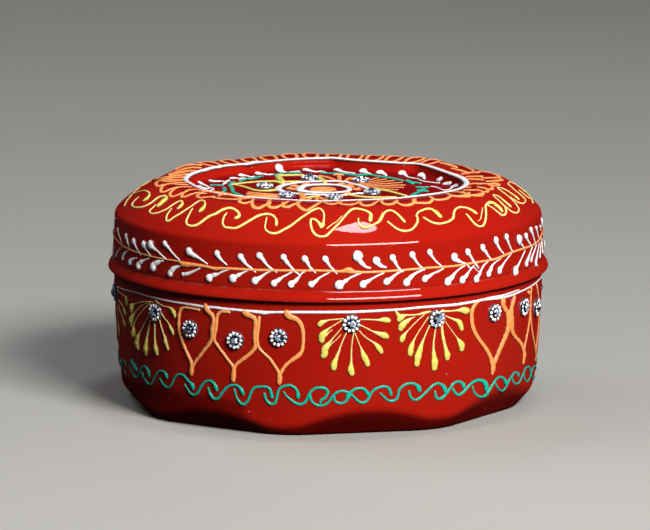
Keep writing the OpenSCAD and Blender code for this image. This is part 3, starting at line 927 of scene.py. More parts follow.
FANS = {
    "f0": "119,292,1.2 122,294,1.2 125,296.3,1.3 126.8,297.5,2.8 127.6,300,4 127.6,303,2.4; 118,299,1.2 121,303,1.2 123.5,306.5,1.3 124.6,309,2.4 125.5,311.8,2.8 126.3,314.2,1.6;"
          "118.5,303,1.2 120,310,1.2 122,315,1.3 123.5,319,1.6 124.5,321,2.8 125.2,323.5,2.8 125.7,325.5,1.4; 117,306,1.1 118,313,1.1 118.5,321,1.3 119.5,328,2 120.2,331.5,2.8 120.5,334.5,1.8;"
          "115.6,312,1.1 116,322,1.1 116.4,330,1.3 117,335,1.8 117.4,338.5,1.6; 114,304,1.6 114.3,312,1.8 114.6,322,1.6",
    "f1": "153,302,1.6 148,301.5,1.3 142,302,1.3 137,303.2,1.3 134.6,304.3,1.8 133,305.6,3.6 132.3,307.5,4.4 132.2,310,2.4; 150,302,1.3 145,304,1.3 139,308,1.3 135.5,312,1.5 133.5,315.3,2.5 132.4,318,3.7 131.7,321,4.1 132,323.8,2.2;"
          "150,303.5,1.3 145,308,1.3 140,314,1.3 136,320,1.3 134.2,325,1.4 134,328,2 134.5,330.8,4.2 134.2,333.5,4.4; 149.5,315,1.3 146,321,1.3 143,327,1.3 140.5,331.5,1.5 139.2,335,2.5 138,340,3.8 137.6,344,4.1 138.4,347,2.2;"
          "150.5,321,1.5 149,328,1.5 147.8,335,1.8 147,341,2.5 146.5,347,3.8 146.4,350.5,4 146.5,352.8,2.5; 155,322,1.6 155,330,1.6 155,337,1.7 155.5,342,2 156,347,3.2 156.8,350.5,4 157.3,353,3;"
          "160,320.5,1.3 161.5,327,1.4 163.5,333,1.6 165,337,2.3 166,342,3.2 167.4,345.8,2.7 168,348.2,1.2; 161,312,1.3 163.5,316.5,1.4 167,321,1.4 169.5,324.5,1.7 171,328,2.9 172.6,331,2.9 173.2,333.2,1.4;"
          "155.5,300.3,1.6 157,301.8,1.8 160,304,1.4 164,306.2,1.3 168,307,1.5 171,308.5,2.9 173.5,311.5,3.8 174.8,314.5,2.9 175,315.8,1.6",
    "f2": "343,318.8,1.8 334,319.5,1.8 328,320.3,2.2 324.4,321.5,3.5 321,323,5.8 319.8,324.3,4.8; 341.5,320.5,1.5 336,324,1.5 331,327,1.8 327,330,3.2 324,333,6 321.8,337,7 321.6,340,6;"
          "332,330,1.4 328.5,332.7,1.8 325.5,336,3; 342,327.5,1.6 337.5,333,1.6 333,338,2 330,342,3 327,346,5.8 324.4,350,7 324.6,353.5,6.6 323.6,355.3,3.6; 341,334.5,1 337,339,1.2 332,343.3,1.5 329,346.5,2.4;"
          "346.5,333,1.8 343.5,339,1.8 341,345,2 339,351,2.8 337,356,3.6 335.5,360,4.2 334,364.2,6.6 333.6,367.6,5.6; 353.5,333.5,1.8 352.3,341,1.7 351.5,348,1.8 351.3,355,2.2 351.2,361,2.8 350.9,366,4.2 350.7,369.8,7 351.6,373,4.8;"
          "355,333.5,1.6 357.5,340,1.7 360,346,1.9 361.7,350,3 363,354,5.2 365,358.5,6 366.8,362,5.6 367.4,364.2,3.6; 359.5,331,1.7 363,335,1.7 368,339,1.8 372,341.5,2.2 375.5,344,3.5 378,347,5.2 380.2,350,5.6 381,351.6,4.4;"
          "361,325.5,1.7 367,328.5,1.7 373,331.5,2.3 377.5,333.2,4 382,334.7,5.8 385,335.6,6.6 386.2,336.4,5; 361,319.5,1.7 368,319.5,1.8 374,319.8,2 379,320,3 383,319.8,4.8 386.6,320,5.8 388,320.4,4.8",
    "f3": "430,311.5,2.4 424,313,3.2 418,314.5,2.2 411,315,2 405,315.5,3 401.2,317,6 399.3,319,5.2; 395.8,311.5,2 397.2,313.5,3 399,316,5; 414.5,317,1.2 411,318.5,2.5 407,321,4.4 403.2,324,6.2 401,326.8,6.2 400.5,328.4,4;"
          "424,315,1.2 418,320,1.3 412,326,1.4 407,331.5,1.8 404,335,3.8 402.2,338,5.6 401.6,339.9,4.4; 428.5,317,1.3 424,323.5,1.3 419,331,1.4 415.5,337,1.8 413,342,3 411,347,5.3 410.1,351.6,5.8 410,353.4,4.5;"
          "430,324.5,1.8 427,331,1.9 424,338,2.2 421.5,344,3.4 419.5,350,5.2 417.6,356,6.6 417,360.5,5.3 416.6,363.6,3; 435.5,327.5,1.8 434.5,335,2 433.5,343,2.3 433.3,350,3 433.8,357,4.8 434.2,362,6.6 434.2,365.4,6.2 434,367.6,3.8;"
          "442,324,2.2 442,331,2.9 443,338,3.3 444.5,345,3.2 446,351,4.3 446.9,355.2,5.8 447,357.8,4.6; 443.5,319,1.3 448,325.5,1.3 453,332.5,1.4 457,338,2 459.5,342,4.8 461.2,345.6,6.2 461.3,348.2,5;"
          "444.5,315.5,1.3 449,317.5,2 454,319.5,3 458.3,321.5,4.8 460.3,325.2,5.2 461.3,328.4,4; 442.5,311,3.6 447,311.2,2.5 453,310.8,2.2 458,310.3,3 462,309.9,5.6 465,310.6,7.6 467,310.6,5.2",
}
fans = {k: S(v, "wall") for k, v in FANS.items()}

SCROLL = ("124.5,360,1.4 126,363,1.4 127,366,1.1; 132,361,1.8 134,364,2.8 136,367.3,2.8 136.8,369,1.6; 124.5,370,1.1 127,375,1.3;"
          "130,366.5,1.3 131.5,370,1.3 134,374,1.8 135.5,377,2 137,377.3,1.6 139.5,373.5,1.4 141.5,369,1.4 143,366.8,1.5 145,366.3,1.8 147,368,2 149,372,2.2 149.8,375.5,1.6;"
          "142.5,373,1.8 144,377,1.5 146.5,381,1.6 149,384,1.8 151,384.3,1.8 153,381,1.7 155.5,376.5,1.7 158.5,372,1.8 161,370.8,2 164,371.8,2.2 166,374,2.5 167,376.8,2.5;"
          "160.5,379,1.6 162,382,1.6 165,386,1.8 168,387.8,2.2 171,385.5,2.2 174,379.5,2.2 177.5,375,2.3 181,374.3,2.3 184.5,376,2.4 187,379,2.4 189,381.5,2 191.5,383.8,3.6 193,386.5,3.3 193.3,388.3,2.2;"
          "185,384.5,1.5 188,389.5,1.6 191,393.5,2 194,395,2.6 197.5,393,2.7 200,388.5,2.7 203,384,2.7 206,381.5,2.7 210,380.8,2.7 213,382.3,2.7 215,385,3 216.3,388,3.6 216.9,389.8,2.5",
          "208.5,388.5,2.2 209.5,392,2.4 211.5,396,2.8 215,399,3.1 218,398.3,3.1 221,394.5,2.9 224,390.5,2.8 227,387.3,2.8 231,385.5,2.8 236,385.2,2.6 239,386.8,2.8 241.4,389.8,3.6 242.8,392.4,3.4 243.3,393.8,2.2;"
          "234.5,389.5,2 235.5,394,2 237.5,399,2.3 240.5,403,2.8 243.5,404.3,3.1 246.5,402.5,2.9 249,398,2.9 251,392.5,2.8 253.5,388.5,2.8 257,387,2.8 262,386.8,2.8 267,387,2.8 270,389.5,3 271.1,393,3.5 271.9,396.8,3.5;"
          "264.5,394,2.6 265.5,398,2.8 268,402,3 271.5,404.3,3.1 274.5,403.3,2.9 276.5,399,2.9 277.5,394,2.8 279,389.5,2.8 282,387,2.8 286,385.6,2.8 291,385.6,2.6 295,388,2.6 297.4,391.5,3 298.1,395.2,4.3 297.9,397.2,3.6;"
          "284,392,1.8 286,395.5,2 290,399,2.3 295,402.8,2.8 300,404.3,3.1 304,403,3 307,399,2.9 309,394.5,2.9 311.5,391,2.8 315,388.3,2.8 320,387.7,3 325,388.5,3 327.8,391.5,3 326.8,395.5,3 324,398.5,3 321.2,400,3 320.2,402.6,2.6;"
          "309.5,396,4 311.3,400.5,2.8 315,404.3,2.6 320,405.6,2.7 326,404,2.6 330,400.2,2.6 333,395.7,2.6 337,392.4,2.6 342,391,2.6 346.5,392,2.8 350,393.7,2.6 354,397,2.6 358,401,2.7 362,402.7,2.8 366,401.4,2.7 369,397.5,2.7 371,393.2,2.6 374,390,2.6 379,387.5,2.6 384,386.4,2.6 388,387.6,2.8 390,391,3.2 391,394.4,3;"
          "334,397,2.8 335,401,2.6 338,403,2.7 342,403.2,2.7 346,401,2.8 348,396.5,4.4 350,392.8,3.6 354,389.7,2.7 358,388.4,2.7 363,388.6,2.8 366,391,3.4 368,394.4,3.4 368.8,395.8,2.4",
          "380.5,393.5,1.9 384,397,2.2 388,400.2,2.4 392,401,2.6 396,399.4,2.7 398,395,2.7 399,390,2.6 402,386.6,2.5 406,384.2,2.5 411,383.3,2.6 415.5,384.5,3.2 418.4,387.6,4.4 419.2,390,4;"
          "409,391.5,2.2 410,396,2.4 412.5,399,2.6 416,399.8,2.6 420,397.6,2.5 425,393,2.5 430,388,2.5 434,384.6,2.5 438,383.4,2.6 442,385,3 444.4,388.4,4.2 445.4,392.2,3.2;"
          "435,392,2.4 435.5,396,2.8 438,399,3 441,398.4,3 444.5,395.5,2.8 448,391,2.5 451,386.5,2.5 454,383,2.5 458,381.6,2.6 461.5,382.8,3 463.4,385.5,3.8 463.6,387.2,2.8;"
          "453,389,2.2 455,393,2.8 458.5,394.9,3 462,393,2.8 466,389,2.6 470,384.5,2.6 474,381.5,2.8 480,380.2,3.4 484,382,4.2 485.8,385.5,4.2 485.9,388.4,3.4",
          "472.5,387,1.8 474,392,2 478,396,2.3 482,396.9,2.5 486,394.4,2.4 490,388.5,2.3 494,382,2.2 497.5,377.8,2.2 501,377,2.4 504,379.3,3 505.4,382.6,3; 495.5,384,1.6 498,388.5,1.9 501.5,390.8,2 504.5,388.5,1.9 507.5,382.5,1.8 511,376.7,1.8 514.5,372.7,2 517,372.8,2.4 518,375.6,2;"
          "511.5,377,1.5 513,382,1.8 515.5,384,1.8 518,383,1.7 520.5,379,1.6 523,373,1.6 526,367.5,1.7 528,366.6,1.8 529.5,369,1.8 530,372.6,1.4; 523.5,374,1.5 524.5,379.5,1.5 526.5,381.6,1.5 528.5,379.5,1.4 530.5,374,1.4 532.5,368.5,1.4 534,366,1.5 535.3,366.6,1.5 535.7,369,1.2;"
          "530.5,370,1.2 531.5,376,1.3 533,378.6,1.4 534.5,376,1.3 535.3,371.5,1.1")
scroll_l, scroll_a, scroll_b, scroll_r = [S(t, "wall") for t in SCROLL]


def centre_of(kind_groups):
    return float(np.mean([azimuth(s["P"][len(s["P"]) // 2]) for s in kind_groups]))


def copy(group, turn, dz=0.0, mirror=False, about=0.0, grow=1.0):
    return [moved(s, turn, dz, mirror, about, grow) for s in group]


# the same motifs go on round the sides and the back that the photograph doesn't show
HEART_AZ = {"h1": -39.0, "h2": -25.0, "h3": -13.0}
HEART_Z = {"h1": 40.4, "h2": 37.85, "h3": 40.05}
BACK = 94.0


def behind(group, lim=BACK):
    """Only the strokes that lie wholly round the back."""
    return [s for s in group if min(abs(azimuth(p)) for p in s["P"][::4]) > lim]


orange_front = [s for g in hearts.values() for s in g]
orange_back = []
for az, z, src, mir in ((140, 41, "h3", True), (153, 39, "h2", False), (166, 41, "h3", False), (229, 42, "h1", False), (243, 39.5, "h2", True), (257, 41.5, "h3", False)):
    c = HEART_AZ[src]
    orange_back += copy(hearts[src], az - c, (z - HEART_Z[src]) * 0.8, mir, c)
yellow_front = [s for g in fans.values() for s in g]
yellow_back = []
for az, z, src, mir in ((99.5, 43, "f2", True), (124, 46, "f3", False), (187, 46, "f2", False), (211, 46, "f3", True), (280, 46, "f3", False)):
    c = 6.0 if src == "f2" else 29.4
    yellow_back += [s for s in behind(copy(fans[src], az - c, z - 46.0, mir, c)) if s["P"][:, 2].max() < 51.5]
scroll_front = scroll_l + scroll_a + scroll_b + scroll_r
# one wave of a running scroll: along the band, across it, width in millimetres
WAVE = [(0.06, 0.42, 0.7), (0.0, 0.05, 0.9), (0.06, -0.34, 1.2), (0.24, -0.5, 1.4), (0.46, -0.3, 1.3), (0.7, 0.1, 1.1), (0.94, 0.42, 1.2), (1.16, 0.5, 1.3), (1.34, 0.3, 1.6), (1.36, 0.02, 2.0), (1.28, -0.08, 1.9)]


def running(kind, front, pitch, fat):
    """Goes on with a painted scroll round the back, from where the front ends to where it starts."""
    a1 = max(azimuth(q) for st in front for q in st["P"][::3])
    a0 = min(azimuth(q) for st in front for q in st["P"][::3]) + 360.0
    across = [np.hypot(q[0], q[1]) if kind == "top" else q[2] for st in front for q in st["P"]]
    lo, hi = np.percentile(across, 10), np.percentile(across, 90)
    n = int(round((a0 - a1 - 3.0) / pitch - 0.36))
    step = (a0 - a1 - 3.0) / (n + 0.36)
    unit_wave = np.array(catmull([(u, v) for u, v, w in WAVE], 5))
    wide = np.interp(np.linspace(0, 1, len(unit_wave)), np.linspace(0, 1, len(WAVE)), [w for u, v, w in WAVE])
    out = []
    for k in range(n):
        tall, slip = rng.uniform(0.9, 1.08), rng.uniform(-0.05, 0.05)
        az = np.radians(a1 + 1.5 + step * (k + slip + unit_wave[:, 0]))
        # the first and last waves are shallower, where they meet the others
        shallow = 0.7 if k in (0, n - 1) else 1.0
        v = unit_wave[:, 1] * tall * shallow * (hi - lo)
        mid = 0.5 * (lo + hi) + (2.8 if kind == "top" else -0.9)
        if kind == "top":
            P = np.stack([(mid - v) * np.sin(az), -(mid - v) * np.cos(az), 0 * az], 1)
        else:
            P = np.stack([80 * np.sin(az), -80 * np.cos(az), mid + v], 1)
        out.append({"kind": kind, "P": settle(kind, P), "w": wide * fat * rng.uniform(0.92, 1.1)})
    return out


scroll_back = running("wall", scroll_front, 10.5, 1.0)

ornament("white_ring_body", [white_ring] + white_extra, M_WHITE, "box_body", "body_enamel")
ornament("orange_drops", orange_front + orange_back, M_ORANGE, "box_body", "body_enamel", fat=0.06)
ornament("yellow_fans", yellow_front + yellow_back, M_YELLOW, "box_body", "body_enamel", fine=0.8, fat=0.1)
ornament("green_scroll", scroll_front + scroll_back, M_GREEN, "box_body", "body_enamel", fine=1.12, fat=0.14)

# ----------------------------------------------------------------------------
# Ornament on the side of the lid
# ----------------------------------------------------------------------------
vine_line = S("115.2,237.5,1.3 118,241.2,1.5 121,244.3,1.6 125,247,1.8 130,249.6,1.9 137,252.4,1.9 145,254.8,1.9 155,257.3,1.9 165,259.3,1.9 175,260.8,2 180,262,2.6 182,263.6,5.6 185.5,264.5,6.4 190,264.6,5 196,265.1,4 203,266,3.4"
              " 209,267.2,3.4 214,268.5,4 222,268.4,3.2 235,268.9,3 250,269.8,3 270,270.3,2.8 290,270.6,2.8 310,270.6,2.6 330,270.9,2.8 340,271.4,3 344,271,4.4 347,270.2,6.6 350,270.6,6.6 354,271.8,4.4 360,272.2,3"
              " 375,272,2.8 390,271,2.6 400,270.3,2.4 415,269,2.6 430,267.7,2.6 445,266.8,2.6 455,265.9,2.4 465,264.2,2.6 475,262.6,2.6 485,260.9,2.4 494,259.3,2.8 499,257.7,3.2 505,255.1,2.6 512,252.2,2.4 520,249.6,2.4 527,247.3,2.4 533,244.9,2.2 537,242,2 540,238,1.8 541.2,234,1.5", "skirt")[0]
vine = ring_round("skirt", vine_line, 1.15, 0.35)
LEAVES = ("115.6,219,1.4 115.2,226,1.6 115,232,1.4; 118,225.5,1.6 118.4,229,2.4 119,233,2 120,237,1.3 121.5,241,1.2 122.5,244.5,1; 127,231.3,1.8 126.7,234,2.8 127,238,3 128,242,1.8 129.3,246,1.2 130,249,1;"
          "134.3,238.3,2.4 134.3,240.7,3.7 135,243.5,3 136.3,247,1.6 138.5,251,1.5 141,255,1.3; 144.6,242.2,2.9 144.6,244.8,4.2 145.8,248,3.1 148,252,1.8 151,256,1.4; 151,242.6,3.8 151.6,245,5.6 153.5,248,4.3 157,250.5,2.5 161,254.5,2.3 166,259,2;"
          "164.6,242,3.8 165.6,244.3,4.6 168,247,3.2 171.5,251.5,2.2 175.5,256,2.1 179.5,260,1.8; 189,248.8,4 189.7,251.5,6.2 192,254,5.7 196.5,256.5,3.5 201,259.5,2.7 207.3,263.8,1.8; 217.5,250.8,4 217.4,253.7,5.7 219,257,4.3 222,260.5,2.7 226.6,264.6,2")
LEAVES_A = ("241,253.3,4 240.7,256.2,6.2 243,260,4.8 246.5,264.5,3 251,268,2.9 255.2,271.8,2; 259,252.3,4 259.5,255.2,6.2 262.5,259,4.4 266,264,3 271,268.5,2.9 276.6,272.2,2; 283,253.9,4.4 283.5,256.7,6.2 286,261,4.4 290,266,3.1 294,270.5,2.9 298.6,274.2,2;"
            "304.5,255,4.5 304.6,258.1,6.7 307,262,4.8 309,266,3 312,269.5,2.9 315.3,272.7,2; 324.5,255.4,4.5 325,258.2,6.7 327.5,262.5,3.9 330.5,267,2.8 334,270.5,2.7 336.8,273.8,1.8; 357.5,252,6.4 357.6,255.2,10.4 358.7,259,7.6 362,263.5,4.4 367,267.3,3 370,268,2.5;"
            "376.8,257.5,3.4 376.2,260.2,7 378.2,263.8,6.2 382,266.3,3.5 385.6,267.4,2.7; 392.6,254.9,4 392.6,257.8,6.2 395,262,3.9 397,266,2.8 400.5,270,2.7 402.8,271.8,2; 412.5,251.9,4 412.1,254.8,5.8 414.5,259,3.4 418,264,2.6 421,267,2.6 424,270,2;"
            "429.5,249.8,4 429.6,252.3,5.6 432,256.5,3.1 435.5,261,2.4 440,265,2.2 443.3,267.7,1.8; 454.5,255.3,5 454.2,258.2,6.7 457.5,260.5,4.4 462,262.5,2.6 466.5,264.5,2.4 469.8,268.2,1.8;"
            "234,281.6,5 233.3,278.4,7.6 237,276,5.2 241.5,273.5,3 247,271,2.2 251.3,269.6,1.8; 255.6,283.7,5 255.2,280.8,7.1 259,278.4,4.8 263,275.5,3 267.5,272.5,2.4 271.6,270.7,2; 274,286.2,5 274.1,283.3,6.7 278,280.5,4.8 282,277.5,3 287.5,274.5,2.4 293.2,271.2,2;"
            "291.6,287.2,4.9 291.2,284.3,6.7 295,281.4,4.8 298.5,277.5,3 302,273,2.4 306.6,270.7,2; 311,287.2,4.5 311.1,284.8,6.2 315,281.9,4.4 318.5,278.5,2.8 323.5,275.5,2.4 329.2,272.6,1.8; 339,288.4,6.2 339.2,285.3,9 344,282,4.9 349,278.5,2.8 355,275.5,2.6 362.2,272.6,2;"
            "362.6,287,5.5 363.1,284.3,7.6 367.5,281.5,4.4 372.5,278.5,2.6 378,275.5,2.4 383.7,273.2,1.8; 386.4,285.1,5 386.2,282.3,7.1 390.5,279,4.4 394.5,275.5,3 399,272.5,2.6 404.2,270.2,2; 406.8,286,4.5 406.2,283,6.7 409,279,5.3 413,275,3.3 418,272,2.8 424.7,269.1,2;"
            "425,281.2,4.4 424.7,278.8,6.2 429,276.4,3.9 433,273.5,2.6 438,271.5,2.4 443.2,268.7,1.8; 447.5,284.7,5 447.6,281.3,7.1 451,278,4.8 455,273,2.6 460,268.5,2.2 464.8,265.6,1.8")
LEAVES_B = ("467.5,249.9,4 467.6,252.2,5.3 470,255.5,3 472.5,260,2.6 475.5,264,2.6 478.3,267.8,1.8; 482,245.4,4 482.5,248.2,5 485.5,252,3 488,256,2.4 491.3,259.7,2; 495.5,237.8,3.4 495.5,240.3,4.8 497,244.5,2.9 499.5,249,2.3 503,253.3,2; 506,234.7,3 506,237.2,4 507.5,241,2.4 509.5,246,1.6 512,251,1.6;"
            "519,237.3,4 518.6,240,5.2 520.5,243.5,2.9 523.5,247,1.8 525,248.5,1.5; 525,233.8,3 525.5,236.2,3.6 527,239.5,2.2 529.5,243.5,1.8 531,246,1.5; 530,227.8,2.5 530.5,230.2,3.4 532,233.5,2.2 533.5,238,1.5 535,243,1.5; 535.5,225.2,2 535.8,228.1,2.6 536.8,231.5,1.8 537.8,235.5,1.4 539.5,239.5,1.3;"
            "539.6,224.3,1.9 539.8,226.8,2.1 540.4,230,1.4; 541,218.5,1.6 541.2,222,2.4 541.4,225.5,1.8; 117.1,258.8,1.5 117.1,256.2,2.6 117.8,253,2.1 119.5,250,1.4 122.3,247.2,1.1; 123.5,262.7,1.6 123.4,259.8,2.8 124,256,2.8 126,252.5,2.1 129.3,250.2,1; 131,264.7,2.2 130.6,262.3,3.8 132,260,4 134.5,258.8,2.2 136.8,258.1,1.3;"
            "139.5,268.2,2.7 139.2,265.8,4.3 141,262.5,4.3 144.5,260.5,2.6 148.7,258.4,1.6; 154.4,270.7,3.2 153.7,267.8,5.2 155.5,264,5.7 159,262,3.9 163.2,260.7,1.9; 170.9,277,3 170.7,273.3,5.2 173,269.5,5.2 177,267,3.4 180.6,266.1,2.8; 180,272.8,2.2 182.8,274.3,4.3 187.5,273.8,3.8 193.5,271.4,2.9 199.7,268.4,2;"
            "210,280.5,4.2 209.8,277.8,6.7 213,275.5,5.2 218,274,3 223,271.5,2.4 229.6,269.6,1.6; 462,282.6,4.4 462.1,279.8,5.8 465.5,276.4,3.9 468.5,272,2.4 471.5,268,2 473.8,265.7,1.6; 476,282.2,3.9 476.1,278.8,5.3 479,274.5,3.1 481,270,2.4 484,265,2 487.8,261.7,1.6;"
            "489.3,277,3 488.2,274.3,4.3 490,270,3.7 492.5,265,2.2 497,261,1.6 500.7,258.7,1.3; 499,272.2,3.9 499.1,269.8,4.8 501.5,266.5,2.9 504.5,262,1.6 508,257.5,1.5 511.8,252.7,1.4; 514.6,272.7,4.3 515,269.9,5.3 517.5,266,2.4 520.5,260,1.4 524.8,250.8,1.2; 526,266.6,2.9 525.9,263.3,3.6 527.5,259,2.5 529.5,254,1.6 531.9,247.2,1.3;"
            "530.5,263.2,2.4 530.8,259.8,2.8 532,256,2 534,251,1.5 535.9,245.2,1.3; 535.1,265,2.8 535.3,261.8,2.8 536.2,257,2 537.5,251,1.4 538.9,243.3,1.2; 539,258.2,2.3 539.3,255.3,2.4 540,250,1.5 540.7,242.3,1.3; 541.9,254.5,2 541.9,251.5,2.4 541.6,246,1.6 541.4,239,1.2;"
            "479.3,284.4,1.8 480.2,284.5,1.8; 473.5,267,1.2 476,269.6,1.2 478.6,271.7,1; 114.6,247,1.4 114.2,254,1.6 113.9,260,1.3; 536.8,265,1.4 538.3,267,1.4 539.4,268.3,1.2")
leaves_a = S(LEAVES_A, "skirt")
leaves_front = S(LEAVES, "skirt") + leaves_a + S(LEAVES_B, "skirt")
leaves_back = []
for turn in (118.0, 175.0, 232.0):
    leaves_back += behind(copy(leaves_a, turn), 92.0)
ornament("vine_stem", [vine], M_ORANGE, "lid", "lid_enamel")
ornament("vine_leaves", leaves_front + leaves_back, M_WHITE, "lid", "lid_enamel", fine=0.86, fat=0.13, ball=True, waist=0.72)

# ----------------------------------------------------------------------------
# Yellow scroll on the sloping shoulder
# ----------------------------------------------------------------------------
TS = "top"
SH_L = ("145,181.5,1.4 142.5,184.5,1.6 139.5,188,1.6 134,193,1.6 129.5,198,1.9 126.5,202,2 124.8,205.5,1.8; 129.5,196.5,1.5 134,193.8,1.6 140,191.8,1.8 146,191.2,2.2 149.2,193,2.6 149,196.5,3.4 146.5,199.5,4.4 144.8,200.6,3;"
        "138.5,197.5,1.2 135.5,200,1.4 133,203,1.8 132,205.5,2.2 134.5,207.5,2.4 139,207.7,2.2 144,206.8,2.2 149,204.5,2.4 154,201,2.6 158,198,2.6 162,196.6,2.8 165.6,196.6,3.4 166.4,198.6,4.6 164,201.4,6 161.2,203.8,5 159.4,205.4,3;"
        "155.5,205,1.3 153.5,207.5,1.5 150.5,210,1.8 149.6,212,2.2 152,213.7,2.2 156,213.5,2 162,211.5,2 168,208.5,2 173,205,1.9 178,202,1.9 181.3,201.2,2.8 182.3,204,4 181,206.4,4 178.6,208.4,2.6;"
        "171.5,209,1.2 169.5,211.5,1.4 167.5,214.5,1.8 166.3,218,2.2 166.7,221.2,2.5 168.7,221,2.4 174,217.5,2.4 180,214,2.4 186,210,2.2 192,206,2 197,202.5,2 201,200.7,2 204.3,201.4,2.5 204.9,205,2.9 203.5,208,4.2 201.7,210.2,4.6 200.6,211.1,3")
SH_A = ("192.5,209,1.4 190.5,212,1.6 188.5,216,2 186.7,220,2.4 186.5,223.8,2.9 189.5,225.8,3 195,225.8,3 200,223.4,3 205,219.5,3 210,216.3,3.1 216,214,3.2 221,210.9,3.2 226,208.9,3.1 231,208.4,3 235,209.9,3 238.3,212.6,3.4 239.2,215.8,4.2 237.6,217.7,4.2 236,218.2,2.8;"
        "226.5,213.5,1.8 224.5,216,2.2 223.1,220,2.4 222.8,224,2.6 224.7,227.1,2.8 229,227.9,2.8 236,228.2,2.8 240,226.5,2.8 246,223,2.8 252,219.5,2.9 258,216.2,3 264,214.6,3 270,214.6,2.8 274,216.6,2.8 276.2,220,3.1 276.5,222.8,4.2 276.3,224.9,3.6;"
        "266.8,217.5,1.6 266,221,1.8 265.2,225,2 265.3,229,2.2 268,231.9,2.6 273,233.6,2.9 277.5,233.1,2.9 283,230.2,2.8 290,226.5,2.8 296,222,2.6 302,217.5,2.4 308,213.5,2.3 314,210,2.3 319,208.7,2.3 322.4,210.6,2.4 323.9,214,2.4 323.9,219,2.3 323.4,222.6,3.2 322.4,225.4,6 321.4,226.8,4.6;"
        "320.6,225.6,5 318,222,3.2 314,219.4,2.5 311.2,219.3,2.6 310.5,222.5,2.8 311.1,227,3 312.7,231.3,3.2 316,235.2,3.3 321,236.7,3.5 325.5,236.2,3.5 330,232.4,3 334,228.5,2.8 339,223.5,2.6 344,217.5,2.6 348,212.9,2.9 352.5,209.5,2.9 357,209,2.6 363,210.1,2.4 368,212.1,2.6 370.8,214.7,4.2 370.5,217.8,5.6 370.1,220.6,3.8;"
        "327,228.6,1.2 331,225.3,1.1 337,221.3,0.9 342,216,0.9;"
        "358.3,218.5,2 358.5,222,2 360,225.3,2.6 363.5,227.4,3.9 367,227.3,3.4 371,225.9,2.6 376,223.5,2.6 379.5,221.4,3.2 382,217.5,3 384,213.6,2.6 387,211.1,2.5 391,210.7,2.4 395,212.5,2.4 399,216,2.6 402.4,219.7,3.4 404,221.6,3; 382.6,212.4,1 380.5,217,1 378,221,1")
SH_B = ("388,222,2.2 391.5,225,2.2 396,228.4,2.4 401,230.6,2.6 406,231.1,2.6 411,229.9,2.6 415,226.4,2.8 417.4,222,3.2 417.5,218.5,2.9 416.4,215.5,2.4 418,212.6,2.4 422,210.6,2.6 427,209.1,2.6 431,209.3,2.8 434.5,211.6,3.8 437.4,214.1,4.7 439.4,216.2,4.4;"
        "424,218,2 428,220.5,2.2 433,222.9,2.4 439,223.9,2.5 445,222.9,2.5 450,220.9,2.9 453.3,217.5,3.4 453.7,213.5,3.2 455,210.1,2.7 458.5,207.7,2.4 464,207.7,2.3 469,209.1,2.7 473,211.5,3.3 475.6,213.2,3;"
        "466.5,214.5,1.8 470,218.5,2 474,223.4,2.4 478,226.3,2.8 481.8,227,2.9 484.3,223.5,2.8 485.8,217,2.6 485.7,210,2.6 485.5,206,3 488,203.4,3.8 491,202.9,4.2 496,205.7,4.6 499.6,208.7,4.2 501.4,210.8,3")
SH_R = ("482.5,208,1.4 481.5,214,1.5 480,219.5,1.2 478.2,221,1; 487.5,205,1.3 493,208.5,1.3 498,212.6,1.9 502,215.4,2.7 505,214.6,2.8 506,210.6,2.3 503,205,1.6 498.5,200.5,1.5 494,196.6,1.6 493.2,195.5,1.9 497,196,2 501,198.7,2.3 505,202.2,3.2 508.4,205.2,3.4 510,206.4,2.6;"
        "501,203.4,1.2 507,208.2,1.4 513,212.5,2 517,212.8,2.1 518.7,210.8,2 516.3,205,1.6 511,199,1.5 505,194,1.5 499,189.6,1.5 497.2,187.8,1.7 501,188.4,1.8 507,190.9,2 511.5,194,2.6 516,197.5,3.3 518,199.2,2.8;"
        "509,197,1.2 514,200,1.4 519,203,1.9 523.6,203.4,2 525.3,201.3,1.9 522,196.5,1.6 516,191.5,1.5 511,187,1.5 507.7,183.7,1.7 510,182.4,1.8 514,184,1.6 520,188,2 524,191.4,2.9 528,195.2,3 530.8,199,2.6 532.6,202.6,2.2; 519,190.4,1.2 524,194.6,1.4 528.6,198.4,1.4")
sh_a, sh_b = S(SH_A, TS, 0.8, 1.6), S(SH_B, TS, 0.8, 1.6)
yellow_sh = S(SH_L, TS, 0.8, 1.6) + sh_a + sh_b + S(SH_R, TS, 0.8, 1.6)
sh_back = running("top", yellow_sh, 13.5, 1.0)
ornament("shoulder_scroll", yellow_sh + sh_back, M_YELLOW, "lid", "lid_enamel", fine=1.1, fat=0.06)

# ----------------------------------------------------------------------------
# Edge of the recess: white bead and a wreath of orange loops
# ----------------------------------------------------------------------------
ang = np.radians(np.arange(0, 360, 1.0))
rim_r = rec_rho(ang) + 0.75
near_edge = 0.5 + 0.5 * np.tanh((np.abs((np.degrees(ang) - 250.0 + 180.0) % 360.0 - 180.0) - 56.0) / 8.0)
rim_w = 1.35 + 1.25 * near_edge + (0.12 + 0.2 * near_edge) * np.sin(ang * 5 + 1) + 0.12 * np.sin(ang * 13)
rim_w += 1.5 * np.exp(-((np.degrees(ang) - 125.0) / 2.4) ** 2)
rim_w = np.maximum(rim_w, 1.0)
rim = {"kind": "top", "P": np.stack([rim_r * np.cos(ang), rim_r * np.sin(ang), 0 * ang], 1), "w": rim_w, "kw": {"closed": True, "high": 0.95}}
rim["P"] = settle("top", np.vstack([rim["P"], rim["P"][:1]])); rim["w"] = np.append(rim_w, rim_w[0])
# lumps where the bag was lifted and set down again
lumps = S("246.5,165,2 250.5,164.4,3.5 254.5,163.6,2.2; 202,171.8,1.8 204.8,171.1,2.8 208,170.2,1.8; 216.6,168.5,1.8 219.4,167.8,2.7 222.4,167,1.8", "top")
ornament("rim_bead", [rim] + lumps, M_WHITE, "lid", "lid_enamel")


